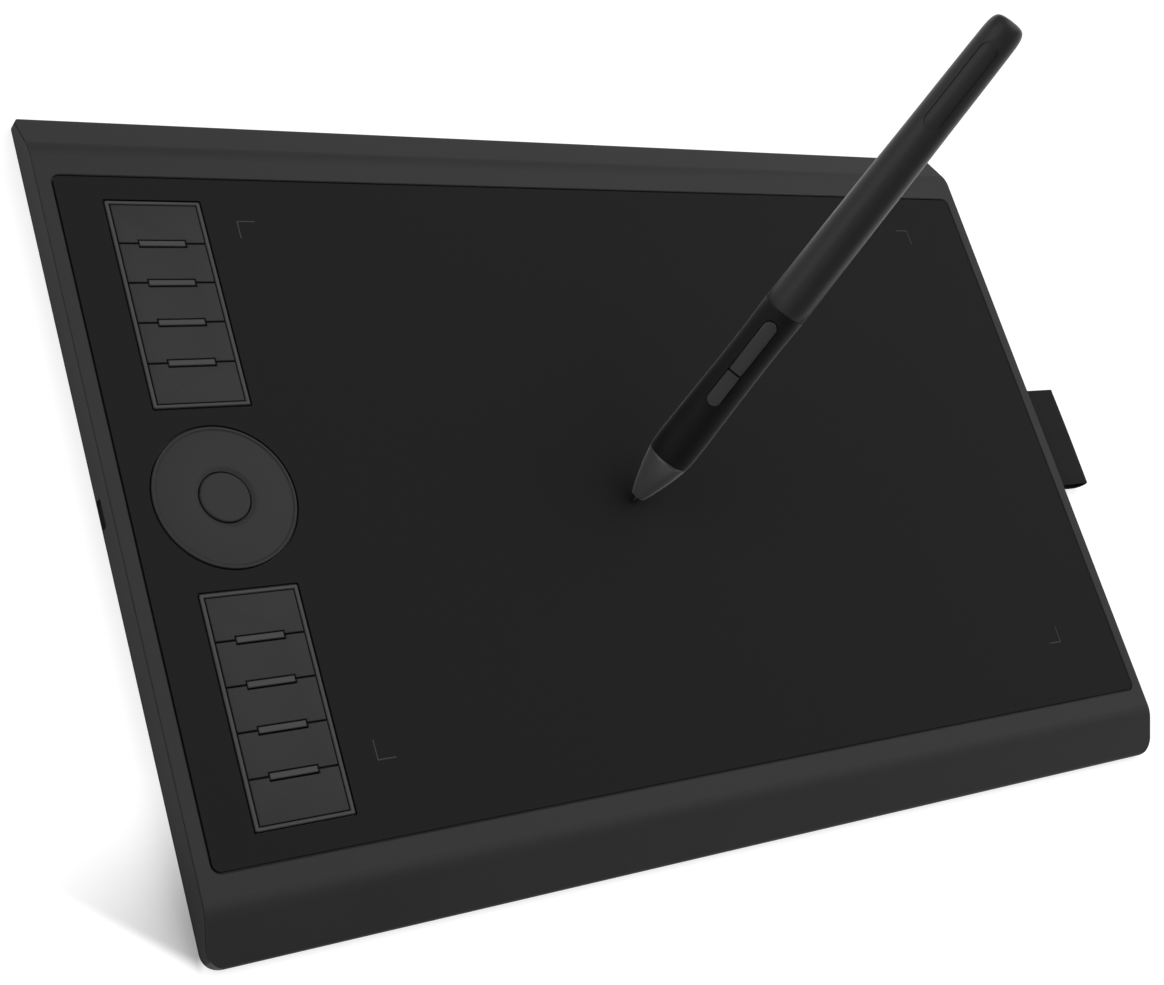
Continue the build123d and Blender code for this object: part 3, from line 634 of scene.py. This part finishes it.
# Pen: the ways up its axis and out through its side buttons, and its two placings. A piece for
# PEN_UPRIGHT is modelled along Z, and one for PEN_FACING along X, with the buttons' way out on Z
pen_joints = {joint["name"]: joint for joint in frame["joints"]}
PEN_UP = Vector(pen_joints["pen_lift"]["axis"]).normalized()
PEN_OUT = -Vector(pen_joints["pen_button_front_press"]["axis"]).normalized()
NIB_POINT = Vector((-14.8, -11.9, 10.15))
PEN_UPRIGHT = Matrix.Translation(NIB_POINT) @ Matrix(
    (PEN_OUT, PEN_UP.cross(PEN_OUT), PEN_UP)
).transposed().to_4x4()
PEN_FACING = Matrix.Translation(NIB_POINT) @ Matrix(
    (PEN_UP, PEN_OUT.cross(PEN_UP), PEN_OUT)
).transposed().to_4x4()
UPRIGHT_TO_FACING = PEN_UPRIGHT.inverted() @ PEN_FACING

case_plastic = moulded("case_plastic", 46, 0.5, 0.16)
cap_plastic = moulded("cap_plastic", 50, 0.62, 0.08)
key_plastic = moulded("key_plastic", 47, 0.5, 0.16, mottle=0.05)
ring_plastic = moulded("ring_plastic", 46.5, 0.5, 0.16, mottle=0.05)
# Painted highlight: the key frames' plastic is made lighter than the case's, for the light line
# along their rims
rim_plastic_painted_highlight = moulded("rim_plastic_painted_highlight", 60, 0.45, 0.25)
barrel_plastic = moulded("barrel_plastic", 47, 0.36, 0.16, grain=0.15, depth=0.003, sheen=0.12)
# Painted light: the nose's plastic is made lighter than the barrel's, standing in for the light
# patch on its lit side
nose_plastic_painted_light = moulded("nose_plastic_painted_light", 74, 0.3, 0.4, grain=0.15, depth=0.003, sheen=0.6)
side_button_plastic = moulded("side_button_plastic", 55, 0.4, 0.2, grain=0.15)
nib_plastic = moulded("nib_plastic", 24, 0.4, 0.5, grain=0.1)
inner_plastic = moulded("inner_plastic", 58, 0.5, 0.4, grain=0.3)
sheet_film = drawing_sheet()
print_ink = moulded("print_ink", 62, 0.6, 0.15, grain=0.1, mottle=0.12)
grip_rubber = soft_grip()
board_green = circuit_board("board_green", tint(10, 50, 30), tint(24, 84, 50), 1.6)
board_black = circuit_board("board_black", grey(18), grey(34), 1.2)

# Finishes of the CAD pieces that show as they are
carried_over = {
    "top_cover": case_plastic,
    "left_end_cap": cap_plastic,
    "right_end_cap": cap_plastic,
    "bottom_cover": moulded("underside_plastic", 46, 0.65, 0.15, grain=0.4, depth=0.02),
    "work_surface": sheet_film,
    "key_frame_upper": rim_plastic_painted_highlight,
    "key_frame_lower": rim_plastic_painted_highlight,
    "rubber_feet": rubber(),
    "case_screws": rolled_metal("blackened_steel", grey(96), 0.42, (1, 1, 1)),
    "usb_socket": rolled_metal("socket_steel", tint(172, 172, 170), 0.3, (0.05, 1, 1)),
    "usb_tongue": socket_tongue(),
    "sensor_board": circuit_board("sensor_grid", tint(12, 44, 34), tint(30, 84, 62), 3.2),
    "shield_plate": rolled_metal("shield_sheet", tint(176, 178, 180), 0.38),
    "main_board": board_green,
    "main_board_chips": chip_epoxy(),
    "key_board": board_black,
    "ring_board": board_black,
    "pen_board": board_black,
    "key_switches": dome_switch("key_dome_switch", "key_switches", 0.36),
    "button_switch": dome_switch("ring_dome_switch", "button_switch", 0.36),
    "pen_switches": dome_switch("pen_side_switch", "pen_switches", 0.5),
    "key_ribbon": ribbon_film(),
    "sensor_ribbon": ribbon_film(),
    "loop_clamp": inner_plastic,
    "pen_chassis": inner_plastic,
    "pen_ferrite": ferrite_ceramic(),
    "pen_coil": coil_winding(),
    "pressure_sensor": rolled_metal("sensor_can", tint(150, 148, 140), 0.35),
}
stand_in_finishes = {"pen_loop": grip_rubber, "pen_nib": nib_plastic}
for name, node in frame["nodes"].items():
    finish = carried_over.get(name, stand_in_finishes.get(name, key_plastic))
    node.data.materials.clear()
    node.data.materials.append(finish)


# Corner marks printed on the sheet

MARK_ARM = 5.8
MARK_LINE = 0.32
MARK_INK = 0.02
MARK_CORNERS = ((-123.6, -77.7, 0), (148.5, -77.7, 90), (148.5, 85.0, 180), (-123.6, 85.0, 270))


def corner_marks():
    """Four printed corners: one is drawn, and the others are turned copies of it."""
    deselect()
    bpy.ops.mesh.primitive_plane_add(size=MARK_LINE, location=(0, 0, SHEET_TOP))
    first = opened("mark_front_left")
    for direction in (Vector((1, 0, 0)), Vector((0, 1, 0))):
        pick("EDGE", lambda place: (place.xy - direction.xy * MARK_LINE / 2).length < 0.01)
        pull(*(direction * (MARK_ARM - MARK_LINE)))
    bpy.ops.mesh.select_all(action="SELECT")
    pull(z=MARK_INK)
    closed_up()
    names = ("mark_front_left", "mark_front_right", "mark_back_right", "mark_back_left")
    for name, (x, y, degrees) in zip(names, MARK_CORNERS):
        mark = first if name == first.name else bpy.data.objects.new(name, first.data.copy())
        if mark is not first:
            bpy.context.scene.collection.objects.link(mark)
        turn = Matrix.Translation((x, y, 0)) @ Matrix.Rotation(math.radians(degrees), 4, "Z")
        yield mark, turn


for mark, turn in list(corner_marks()):
    settled(mark, "tablet", print_ink, placing=turn)


# Keys: a plate notched for the bars beside it, over a plunger

def key_cap(name, notched_back, notched_front, pitch):
    """One key about the origin: a sheet cut to its outline, pulled down and eased."""
    depth = pitch - KEY_GAP
    back_line = pitch / 2 - NOTCH_BACK_EDGE
    front_line = NOTCH_FRONT_EDGE - pitch / 2
    half_notch = NOTCH_LENGTH / 2
    deselect()
    bpy.ops.mesh.primitive_plane_add(size=1.0, location=(0, 0, KEY_TOP))
    piece = opened(name)
    bpy.ops.mesh.select_all(action="SELECT")
    bpy.ops.transform.resize(value=(KEY_WIDTH, depth, 1.0))
    for side in (-1, 1):
        cut((side * half_notch, 0, 0), (1, 0, 0))
    if notched_back:
        cut((0, back_line, 0), (0, 1, 0))
    if notched_front:
        cut((0, front_line, 0), (0, 1, 0))
    pick(
        "FACE",
        lambda place, normal: abs(place.x) < half_notch
        and (notched_back and place.y > back_line or notched_front and place.y < front_line),
    )
    if notched_back or notched_front:
        bpy.ops.mesh.delete(type="FACE")
    bpy.ops.mesh.select_all(action="SELECT")
    pull(z=KEY_BOTTOM - KEY_TOP)
    bpy.ops.mesh.select_all(action="SELECT")
    bpy.ops.mesh.normals_make_consistent(inside=False)
    bpy.ops.mesh.dissolve_limited(angle_limit=math.radians(1))
    pick("FACE", lambda place, normal: normal.z > 0.9)
    bpy.ops.mesh.region_to_loop()
    bpy.ops.mesh.bevel(offset=KEY_ROUND, segments=4, affect="EDGES")
    pick("FACE", lambda place, normal: normal.z < -0.9)
    for side in (-1, 1):
        for line, normal in (
            ((side * PLUNGER_SIZE[0] / 2, 0, 0), (1, 0, 0)),
            ((0, side * PLUNGER_SIZE[1] / 2, 0), (0, 1, 0)),
        ):
            pick("FACE", lambda place, facing: facing.z < -0.9)
            bpy.ops.mesh.bisect(plane_co=line, plane_no=normal)
    pick("FACE", lambda place, normal: normal.z < -0.9 and place.xy.length < 0.5)
    pull(z=PLUNGER_BOTTOM - KEY_BOTTOM)
    closed_up()
    return piece


def add_keys():
    """The ten keys: end, middle and front shapes are made once, and copied to their places."""
    pitch = round((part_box("key_1")[1].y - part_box("key_2")[1].y) / MM, 2)
    shapes = {}
    for number in range(1, 2 * KEYS_PER_GROUP + 1):
        place = (number - 1) % KEYS_PER_GROUP
        notches = (place > 0, place < KEYS_PER_GROUP - 1)
        low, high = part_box(f"key_{number}")
        middle_y = (low.y + high.y) / 2 / MM
        name = f"key_cap_{number}"
        if notches in shapes:
            key = bpy.data.objects.new(name, shapes[notches].copy())
            bpy.context.scene.collection.objects.link(key)
        else:
            key = key_cap(name, *notches, pitch)
            shapes[notches] = key.data.copy()
        settled(
            key,
            f"key_{number}",
            key_plastic,
            [f"key_{number}"],
            Matrix.Translation((STRIP_X, middle_y, 0)),
        )


add_keys()


# Touch ring and its button

RING_RADIUS = 20.7
RING_HOLE = 7.6
RING_TOP = 10.1
RING_UNDERSIDE = 8.6
RING_HOLE_ROUND = 0.15
DISH_RADIUS = 9.3
DISH_DEPTH = 0.45
LIP_TOP = 10.25
LIP_WIDTH = 0.8
LIP_INNER_ROUND = 0.1
LIP_OUTER_ROUND = 0.3
SKIRT_RADIUS = 18.6
FLANGE_RADIUS = 22.0
FLANGE_TOP = 8.05
FLANGE_BOTTOM = 7.2
BUTTON_RADIUS = 7.25
BUTTON_TOP = 10.05
BUTTON_CROWN = 0.12
BUTTON_FLANGE_RADIUS = 8.5
BUTTON_FLANGE_GAP = 0.2
BUTTON_FLANGE_THICKNESS = 0.5
BUTTON_STEM_RADIUS = 2.0
BUTTON_EDGE_ROUND = 0.45


def add_touch_ring():
    dish_floor = RING_TOP - DISH_DEPTH
    lip_inside = RING_RADIUS - LIP_WIDTH
    hole_edge = [
        (RING_HOLE, dish_floor - RING_HOLE_ROUND),
        (RING_HOLE, dish_floor),
        (RING_HOLE + RING_HOLE_ROUND, dish_floor),
    ]
    dish_edge = [
        (DISH_RADIUS - 0.7, RING_TOP - 0.12),
        (DISH_RADIUS - 0.2, RING_TOP),
        (DISH_RADIUS + 0.5, RING_TOP),
    ]
    lip_inner_edge = [
        (lip_inside, LIP_TOP - LIP_INNER_ROUND),
        (lip_inside, LIP_TOP),
        (lip_inside + LIP_INNER_ROUND, LIP_TOP),
    ]
    lip_outer_edge = [
        (RING_RADIUS - LIP_OUTER_ROUND, LIP_TOP),
        (RING_RADIUS, LIP_TOP),
        (RING_RADIUS, LIP_TOP - LIP_OUTER_ROUND),
    ]
    outline = [
        (RING_HOLE, RING_UNDERSIDE),
        *bezier(hole_edge, 3),
        *bezier(dish_edge, 5),
        (lip_inside - 0.8, RING_TOP),
        (lip_inside - 0.3, RING_TOP - 0.1),
        *bezier(lip_inner_edge, 3),
        *bezier(lip_outer_edge, 5),
        (RING_RADIUS, FLANGE_TOP),
        (FLANGE_RADIUS, FLANGE_TOP),
        (FLANGE_RADIUS, FLANGE_BOTTOM),
        (SKIRT_RADIUS, FLANGE_BOTTOM),
        (SKIRT_RADIUS, RING_UNDERSIDE),
    ]
    ring = turned("ring_plate", outline, 160)
    settled(ring, "tablet", ring_plastic, ["touch_ring"], RING_PLACING, 28)


def add_ring_button():
    flange_top = RING_UNDERSIDE - BUTTON_FLANGE_GAP
    flange_bottom = flange_top - BUTTON_FLANGE_THICKNESS
    crown_top = BUTTON_TOP + BUTTON_CROWN / 2
    edge = [
        (BUTTON_RADIUS, BUTTON_TOP - BUTTON_EDGE_ROUND),
        (BUTTON_RADIUS, BUTTON_TOP - 0.04),
        (BUTTON_RADIUS - BUTTON_EDGE_ROUND, BUTTON_TOP - 0.02),
    ]
    crown = [
        (BUTTON_RADIUS - 1.2, BUTTON_TOP + 0.01),
        (BUTTON_RADIUS / 2, crown_top),
        (0, crown_top),
    ]
    outline = [
        (0, PLUNGER_BOTTOM),
        (BUTTON_STEM_RADIUS, PLUNGER_BOTTOM),
        (BUTTON_STEM_RADIUS, flange_bottom),
        (BUTTON_FLANGE_RADIUS, flange_bottom),
        (BUTTON_FLANGE_RADIUS, flange_top),
        (BUTTON_RADIUS, flange_top),
        *bezier(edge, 5),
        *bezier(crown, 6)[:-1],
        (0, crown_top),
    ]
    button = turned("ring_button_cap", outline, 128)
    settled(
        button, "ring_button", ring_plastic, ["ring_button"], RING_PLACING, 28
    )


add_touch_ring()
add_ring_button()


# Pen, on its own upright axis from the nib's point

NOSE_START = 2.6
GRIP_START = 18.5
BARREL_START = 76.0
PEN_LENGTH = 178.8
PEN_BORE = 4.7
PEN_SEAM = 0.15
PEN_EDGE_EASE = 0.12
GRIP_EDGE_EASE = 0.16
BARREL_EDGE_EASE = 0.1
NIB_RADIUS = 0.9
NIB_LENGTH = 34.8
SLOT_SPAN = (40.7, 72.3)
SLOT_WIDTH = 4.8
BUTTON_SPANS = {"pen_button_front": (41.0, 52.7), "pen_button_rear": (53.1, 72.0)}
BUTTON_WIDTH = 4.3
BUTTON_FLOOR = 3.0
BUTTON_HIGH = 7.25
BUTTON_LOW = 7.15
BUTTON_ROUND = 0.5
BUTTON_SHELF_WIDTH = 5.6
BUTTON_SHELF_THICKNESS = 0.5
BUTTON_SHELF_INSET = 0.8
SLOPE_START = 40.0
SLOPE_END = 73.0
RIDGE_WIDTH = 0.7
RIDGE_HEIGHT = 0.16
PLAQUE_MIDDLE = 156.7
PLAQUE_LENGTH = 29.0
PLAQUE_WIDTH = 5.6
PLAQUE_DEPTH = 0.35
PLAQUE_CUT_BOTTOM = 2.0
CORE_START = 130.0
CORE_START_RADIUS = 6.15
CORE_END = 176.5
CORE_END_GAP = 0.7
PEN_OUTSIDE = 9.0

# Outlines of the pen's shells as (radius, height) points, the height from the nib's point
NOSE_SKIN = [(2.2, NOSE_START), (3.45, 5.8), (5.4, 12.2), (6.75, GRIP_START - PEN_SEAM)]
NOSE_HOLLOW = [(4.3, GRIP_START - PEN_SEAM), (3.0, 12.0), (1.1, 8.0), (1.1, NOSE_START)]
GRIP_SKIN = [(6.8, GRIP_START), (7.1, 23.0), (7.0, 33.0), (6.75, 46.0), (6.6, 61.0)]
GRIP_SKIN.append((6.85, BARREL_START - PEN_SEAM))
BARREL_SKIN = [(6.85, BARREL_START), (6.45, 108.0), (6.0, 142.0), (5.6, 172.8)]
CROWN_EDGE = (3.4, PEN_LENGTH - 0.35)
CROWN_SIDE = [BARREL_SKIN[-1], (5.5, 176.4), (5.0, 178.0), CROWN_EDGE]
CROWN_CAP = [CROWN_EDGE, (2.3, PEN_LENGTH), (0.0, PEN_LENGTH)]
BORE_END = 170.0
BORE_TAPER = [(0.0, BORE_END), (PEN_BORE - 0.3, BORE_END), (PEN_BORE, 150.0)]


def barrel_skin(inset=0.0):
    """The barrel's outline from its front edge to its closed end, drawn inside its skin."""
    skin = swelling(BARREL_SKIN, -0.012, -0.02, 9)
    skin += bezier(CROWN_SIDE, 9)[1:] + bezier(CROWN_CAP, 6)[1:-1]
    return [(radius - inset, height) for radius, height in skin]


def add_pen_nose():
    nose = turned("nose_cone", [*swelling(NOSE_SKIN, 0.42, 0.18), *NOSE_HOLLOW])
    eased(nose, PEN_EDGE_EASE, 50)
    settled(nose, "pen", nose_plastic_painted_light, ["pen_nose"], PEN_UPRIGHT)


def add_pen_grip():
    bore = [(PEN_BORE, BARREL_START - PEN_SEAM), (PEN_BORE, GRIP_START)]
    grip = turned("grip_sleeve", [*swelling(GRIP_SKIN, 0.12, 0.02, 7), *bore], 128)
    slot = pill("slot_cutter", *SLOT_SPAN, SLOT_WIDTH, 0.0, PEN_OUTSIDE)
    slot.matrix_world = UPRIGHT_TO_FACING
    bpy.context.view_layer.update()
    carved(grip, slot)
    eased(grip, GRIP_EDGE_EASE, 50)
    settled(grip, "pen", grip_rubber, ["pen_grip"], PEN_UPRIGHT, smooth=40)


def add_pen_barrel():
    """The barrel's shell, with a plaque sunk in it as deep all over, round a core's skin."""
    bore = [*BORE_TAPER, (PEN_BORE, BARREL_START)]
    barrel = turned("barrel_shell", [*bore, *barrel_skin(), (0.0, PEN_LENGTH)], 128)
    low = PLAQUE_MIDDLE - PLAQUE_LENGTH / 2
    high = PLAQUE_MIDDLE + PLAQUE_LENGTH / 2
    plaque = pill("plaque_cutter", low, high, PLAQUE_WIDTH, PLAQUE_CUT_BOTTOM, PEN_OUTSIDE)
    plaque.matrix_world = UPRIGHT_TO_FACING
    lowest, highest = CORE_START + CORE_END_GAP, CORE_END - CORE_END_GAP
    skin = [ring for ring in barrel_skin(PLAQUE_DEPTH) if lowest < ring[1] < highest]
    foot_radius = CORE_START_RADIUS - PLAQUE_DEPTH
    outline = [(0.0, CORE_START), (foot_radius, CORE_START), *skin, (0.0, CORE_END)]
    core = turned("plaque_floor", outline, 128)
    bpy.context.view_layer.update()
    carved(plaque, core)
    carved(barrel, plaque)
    eased(barrel, BARREL_EDGE_EASE, 50)
    settled(barrel, "pen", barrel_plastic, ["pen_barrel"], PEN_UPRIGHT, smooth=40)


def add_pen_buttons():
    """Two caps cut from one pill, lower towards the barrel, each with a shelf inside."""
    slope = (BUTTON_HIGH - BUTTON_LOW) / (SLOPE_END - SLOPE_START)
    starts = [span[0] for span in BUTTON_SPANS.values()]
    ends = [span[1] for span in BUTTON_SPANS.values()]
    for name, (low, high) in BUTTON_SPANS.items():
        cap = pill(f"{name}_cap", starts[0], ends[-1], BUTTON_WIDTH, BUTTON_FLOOR, PEN_OUTSIDE)
        bpy.ops.object.mode_set(mode="EDIT")
        cut((SLOPE_START, 0, BUTTON_HIGH), (slope, 0, 1), use_fill=True, clear_outer=True)
        if low > starts[0]:
            cut((low, 0, 0), (1, 0, 0), use_fill=True, clear_inner=True)
        if high < ends[-1]:
            cut((high, 0, 0), (1, 0, 0), use_fill=True, clear_outer=True)
            cut((high - RIDGE_WIDTH, 0, 0), (1, 0, 0))
            pick("FACE", lambda place, normal: normal.z > 0.9 and place.x > high - RIDGE_WIDTH)
            pull(z=RIDGE_HEIGHT)
        closed_up()
        eased(cap, BUTTON_ROUND, 50, 4)
        deselect()
        middle = ((low + high) / 2, 0, BUTTON_FLOOR + BUTTON_SHELF_THICKNESS / 2)
        length = high - low - 2 * BUTTON_SHELF_INSET
        bpy.ops.mesh.primitive_cube_add(size=1.0, location=middle)
        shelf = opened("button_shelf")
        bpy.ops.mesh.select_all(action="SELECT")
        bpy.ops.transform.resize(value=(length, BUTTON_SHELF_WIDTH, BUTTON_SHELF_THICKNESS))
        bpy.ops.object.mode_set(mode="OBJECT")
        carved(cap, shelf, "UNION")
        settled(cap, name, side_button_plastic, [name], PEN_FACING)


def add_nib():
    tip = bezier([(0.0, 0.0), (0.55, 0.0), (0.75, 0.8), (NIB_RADIUS, 2.4)], 10)
    nib = turned("nib_rod", [*tip, (NIB_RADIUS, NIB_LENGTH), (0.0, NIB_LENGTH)], 48)
    settled(nib, "nib", nib_plastic, ["pen_nib"], PEN_UPRIGHT)


add_pen_nose()
add_pen_grip()
add_pen_barrel()
add_pen_buttons()
add_nib()


# Pen loop: one strip of webbing, folded round, with both tails in the case

LOOP_Y = 0.1
LOOP_WIDTH = 38.4
LOOP_CLOTH = 0.66
LOOP_ROWS = 96
LOOP_COLUMNS = 44
LOOP_EDGE_EASE = 0.14
TAIL_END = 173.0
TOP_TAIL = 5.85
LOW_TAIL = 5.15
FOLD_START = (197.75, TOP_TAIL)
FOLD_FRONT = (200.0, 3.6)
FOLD_UNDER = (195.35, 0.5)
LOW_TAIL_START = (181.0, LOW_TAIL)
BOW_HEIGHT = 0.12
BOW_START = 182.0
BOW_REACH = 12.0


def loop_line():
    """The strip's middle line from tail to tail, as (x, z) points."""
    line = [Vector((TAIL_END, TOP_TAIL)), Vector(FOLD_START)]
    line += bezier([FOLD_START, (199.25, TOP_TAIL), (200.0, 4.75), FOLD_FRONT], 12)[1:]
    line += bezier([FOLD_FRONT, (200.0, 1.35), (198.35, 0.5), FOLD_UNDER], 12)[1:]
    line += bezier([FOLD_UNDER, (187.2, 0.5), (184.8, LOW_TAIL), LOW_TAIL_START], 20)[1:]
    line.append(Vector((TAIL_END, LOW_TAIL)))
    return line


def point_on(line, run):
    """The point this far along a line, and the line's way out of the loop there."""
    for start, end in zip(line, line[1:]):
        span = (end - start).length
        if run <= span or end is line[-1]:
            way = (end - start) / span
            return start + way * run, Vector((-way.y, way.x))
        run -= span


def add_pen_loop():
    """A flat grid of the strip's size, bent along its line, bowed across and thickened."""
    line = loop_line()
    length = sum((end - start).length for start, end in zip(line, line[1:]))
    deselect()
    bpy.ops.mesh.primitive_grid_add(
        x_subdivisions=LOOP_ROWS, y_subdivisions=LOOP_COLUMNS, size=1.0, calc_uvs=True
    )
    strip = opened("loop_strip")
    bpy.ops.mesh.select_all(action="SELECT")
    bpy.ops.transform.resize(value=(length, LOOP_WIDTH, 1.0))
    bpy.ops.object.mode_set(mode="OBJECT")
    for vert in strip.data.vertices:
        run = vert.co.x + length / 2
        place, out = point_on(line, run)
        free = min(1.0, max(0.0, (place.x - BOW_START) / BOW_REACH))
        bow = free * BOW_HEIGHT * math.cos(math.pi * vert.co.y / LOOP_WIDTH)
        place = place + out * bow
        vert.co = (place.x, LOOP_Y + vert.co.y, place.y)
    worked(strip, "SOLIDIFY", thickness=LOOP_CLOTH, offset=0.0)
    eased(strip, LOOP_EDGE_EASE, 60)
    webbing = loop_webbing(LOOP_WIDTH, length)
    settled(strip, "tablet", webbing, ["pen_loop"], smooth=45)
    length * MM


add_pen_loop()


# Studio: a pale floor that keeps the shadow and has a painted shadow at the case's front left
# corner, white surroundings and two soft lamps

# Painted shadow on the floor beside the case's front left corner, in millimetres
PAINTED_SHADOW_CORNER_X = -181
PAINTED_SHADOW_DEPTH = 0.76
PAINTED_SHADOW_SLANT = 0.8
PAINTED_SHADOW_EDGE = (-121.5, -116)
PAINTED_SHADOW_ALONG_CASE = (-69, -112)
PAINTED_SHADOW_OUTWARDS = (60, -10)

# How far a reflected ray turns up, to the front and to the back where the white walls end
CEILING_EDGE = (0.6, 0.3)
DARK_FRONT = (-0.84, -0.7)
DIM_BACK = (0.75, 0.5)


def ray(nodes, kind):
    """1 for rays of this kind, and 0 for all others."""
    return nodes.node("ShaderNodeLightPath", output=f"Is {kind} Ray")


def add_floor(matt, glow):
    """Pale paper that glows where it is looked at, less in a painted shadow at the front left
    corner.
    """
    deselect()
    bpy.ops.mesh.primitive_plane_add(size=8.0)
    floor = opened("floor")
    bpy.ops.object.mode_set(mode="OBJECT")
    material = bpy.data.materials.new("floor_paper")
    material.use_nodes = True
    nodes = Nodes(material.node_tree)
    paper = nodes.node("ShaderNodeBsdfDiffuse", None, {"Color": (matt, matt, matt, 1.0)})
    place = nodes.node("ShaderNodeTexCoord", output="Object")
    x = nodes.node("ShaderNodeSeparateXYZ", None, {0: place}, output="X")
    y = nodes.node("ShaderNodeSeparateXYZ", None, {0: place}, output="Y")
    away = abs(x - PAINTED_SHADOW_CORNER_X * MM)
    behind_edge = nodes.easing(y - PAINTED_SHADOW_SLANT * away, *(line * MM for line in PAINTED_SHADOW_EDGE))
    near_front = nodes.easing(y, *(line * MM for line in PAINTED_SHADOW_ALONG_CASE))
    near_case = nodes.easing(away, *(line * MM for line in PAINTED_SHADOW_OUTWARDS))
    # Painted shadow: the glow is dimmed in a soft patch beside the case's front left corner
    shade = PAINTED_SHADOW_DEPTH * behind_edge * near_front * near_case
    looked_at = ray(nodes, "Camera") | ray(nodes, "Glossy") | ray(nodes, "Transmission")
    strength = looked_at * glow * (1 - shade)
    light = nodes.node("ShaderNodeEmission", None, {"Strength": strength})
    both = nodes.node("ShaderNodeAddShader", None, {0: paper, 1: light})
    nodes.node("ShaderNodeOutputMaterial", None, {"Surface": both})
    floor.data.materials.append(material)


def add_surroundings(level):
    """White all round to the camera, and white walls at the sides in a gloss."""
    world = bpy.data.worlds.new("white_surroundings")
    bpy.context.scene.world = world
    world.use_nodes = True
    nodes = Nodes(world.node_tree)
    way = nodes.node("ShaderNodeTexCoord", output="Generated")
    height = nodes.node("ShaderNodeSeparateXYZ", None, {0: way}, output="Z")
    forward = nodes.node("ShaderNodeSeparateXYZ", None, {0: way}, output="Y")
    wall = nodes.easing(height, *CEILING_EDGE)
    wall = wall * nodes.easing(forward, *DARK_FRONT) * nodes.easing(forward, *DIM_BACK)
    reflected = ray(nodes, "Glossy") | ray(nodes, "Transmission")
    strength = (level + reflected * (wall - level)) | ray(nodes, "Camera")
    background = nodes.node(
        "ShaderNodeBackground", None, {"Color": (1.0, 1.0, 1.0, 1.0), "Strength": strength}
    )
    nodes.node("ShaderNodeOutputWorld", None, {"Surface": background})


def add_softbox(name, place, size, power):
    lamp = bpy.data.lights.new(name, "AREA")
    lamp.shape = "RECTANGLE"
    lamp.size, lamp.size_y = size
    lamp.energy = power
    holder = bpy.data.objects.new(name, lamp)
    bpy.context.scene.collection.objects.link(holder)
    holder.location = place
    holder.rotation_euler = (-Vector(place)).to_track_quat("-Z", "Y").to_euler()


add_floor(0.45, 0.72)
add_surroundings(0.4)
add_softbox("left_softbox", (-1.9, 0.5, 1.15), (2.2, 1.8), 14.0)
add_softbox("top_softbox", (1.0, 0.6, 2.0), (2.2, 2.2), 33.0)
bpy.context.scene.view_settings.view_transform = "Standard"
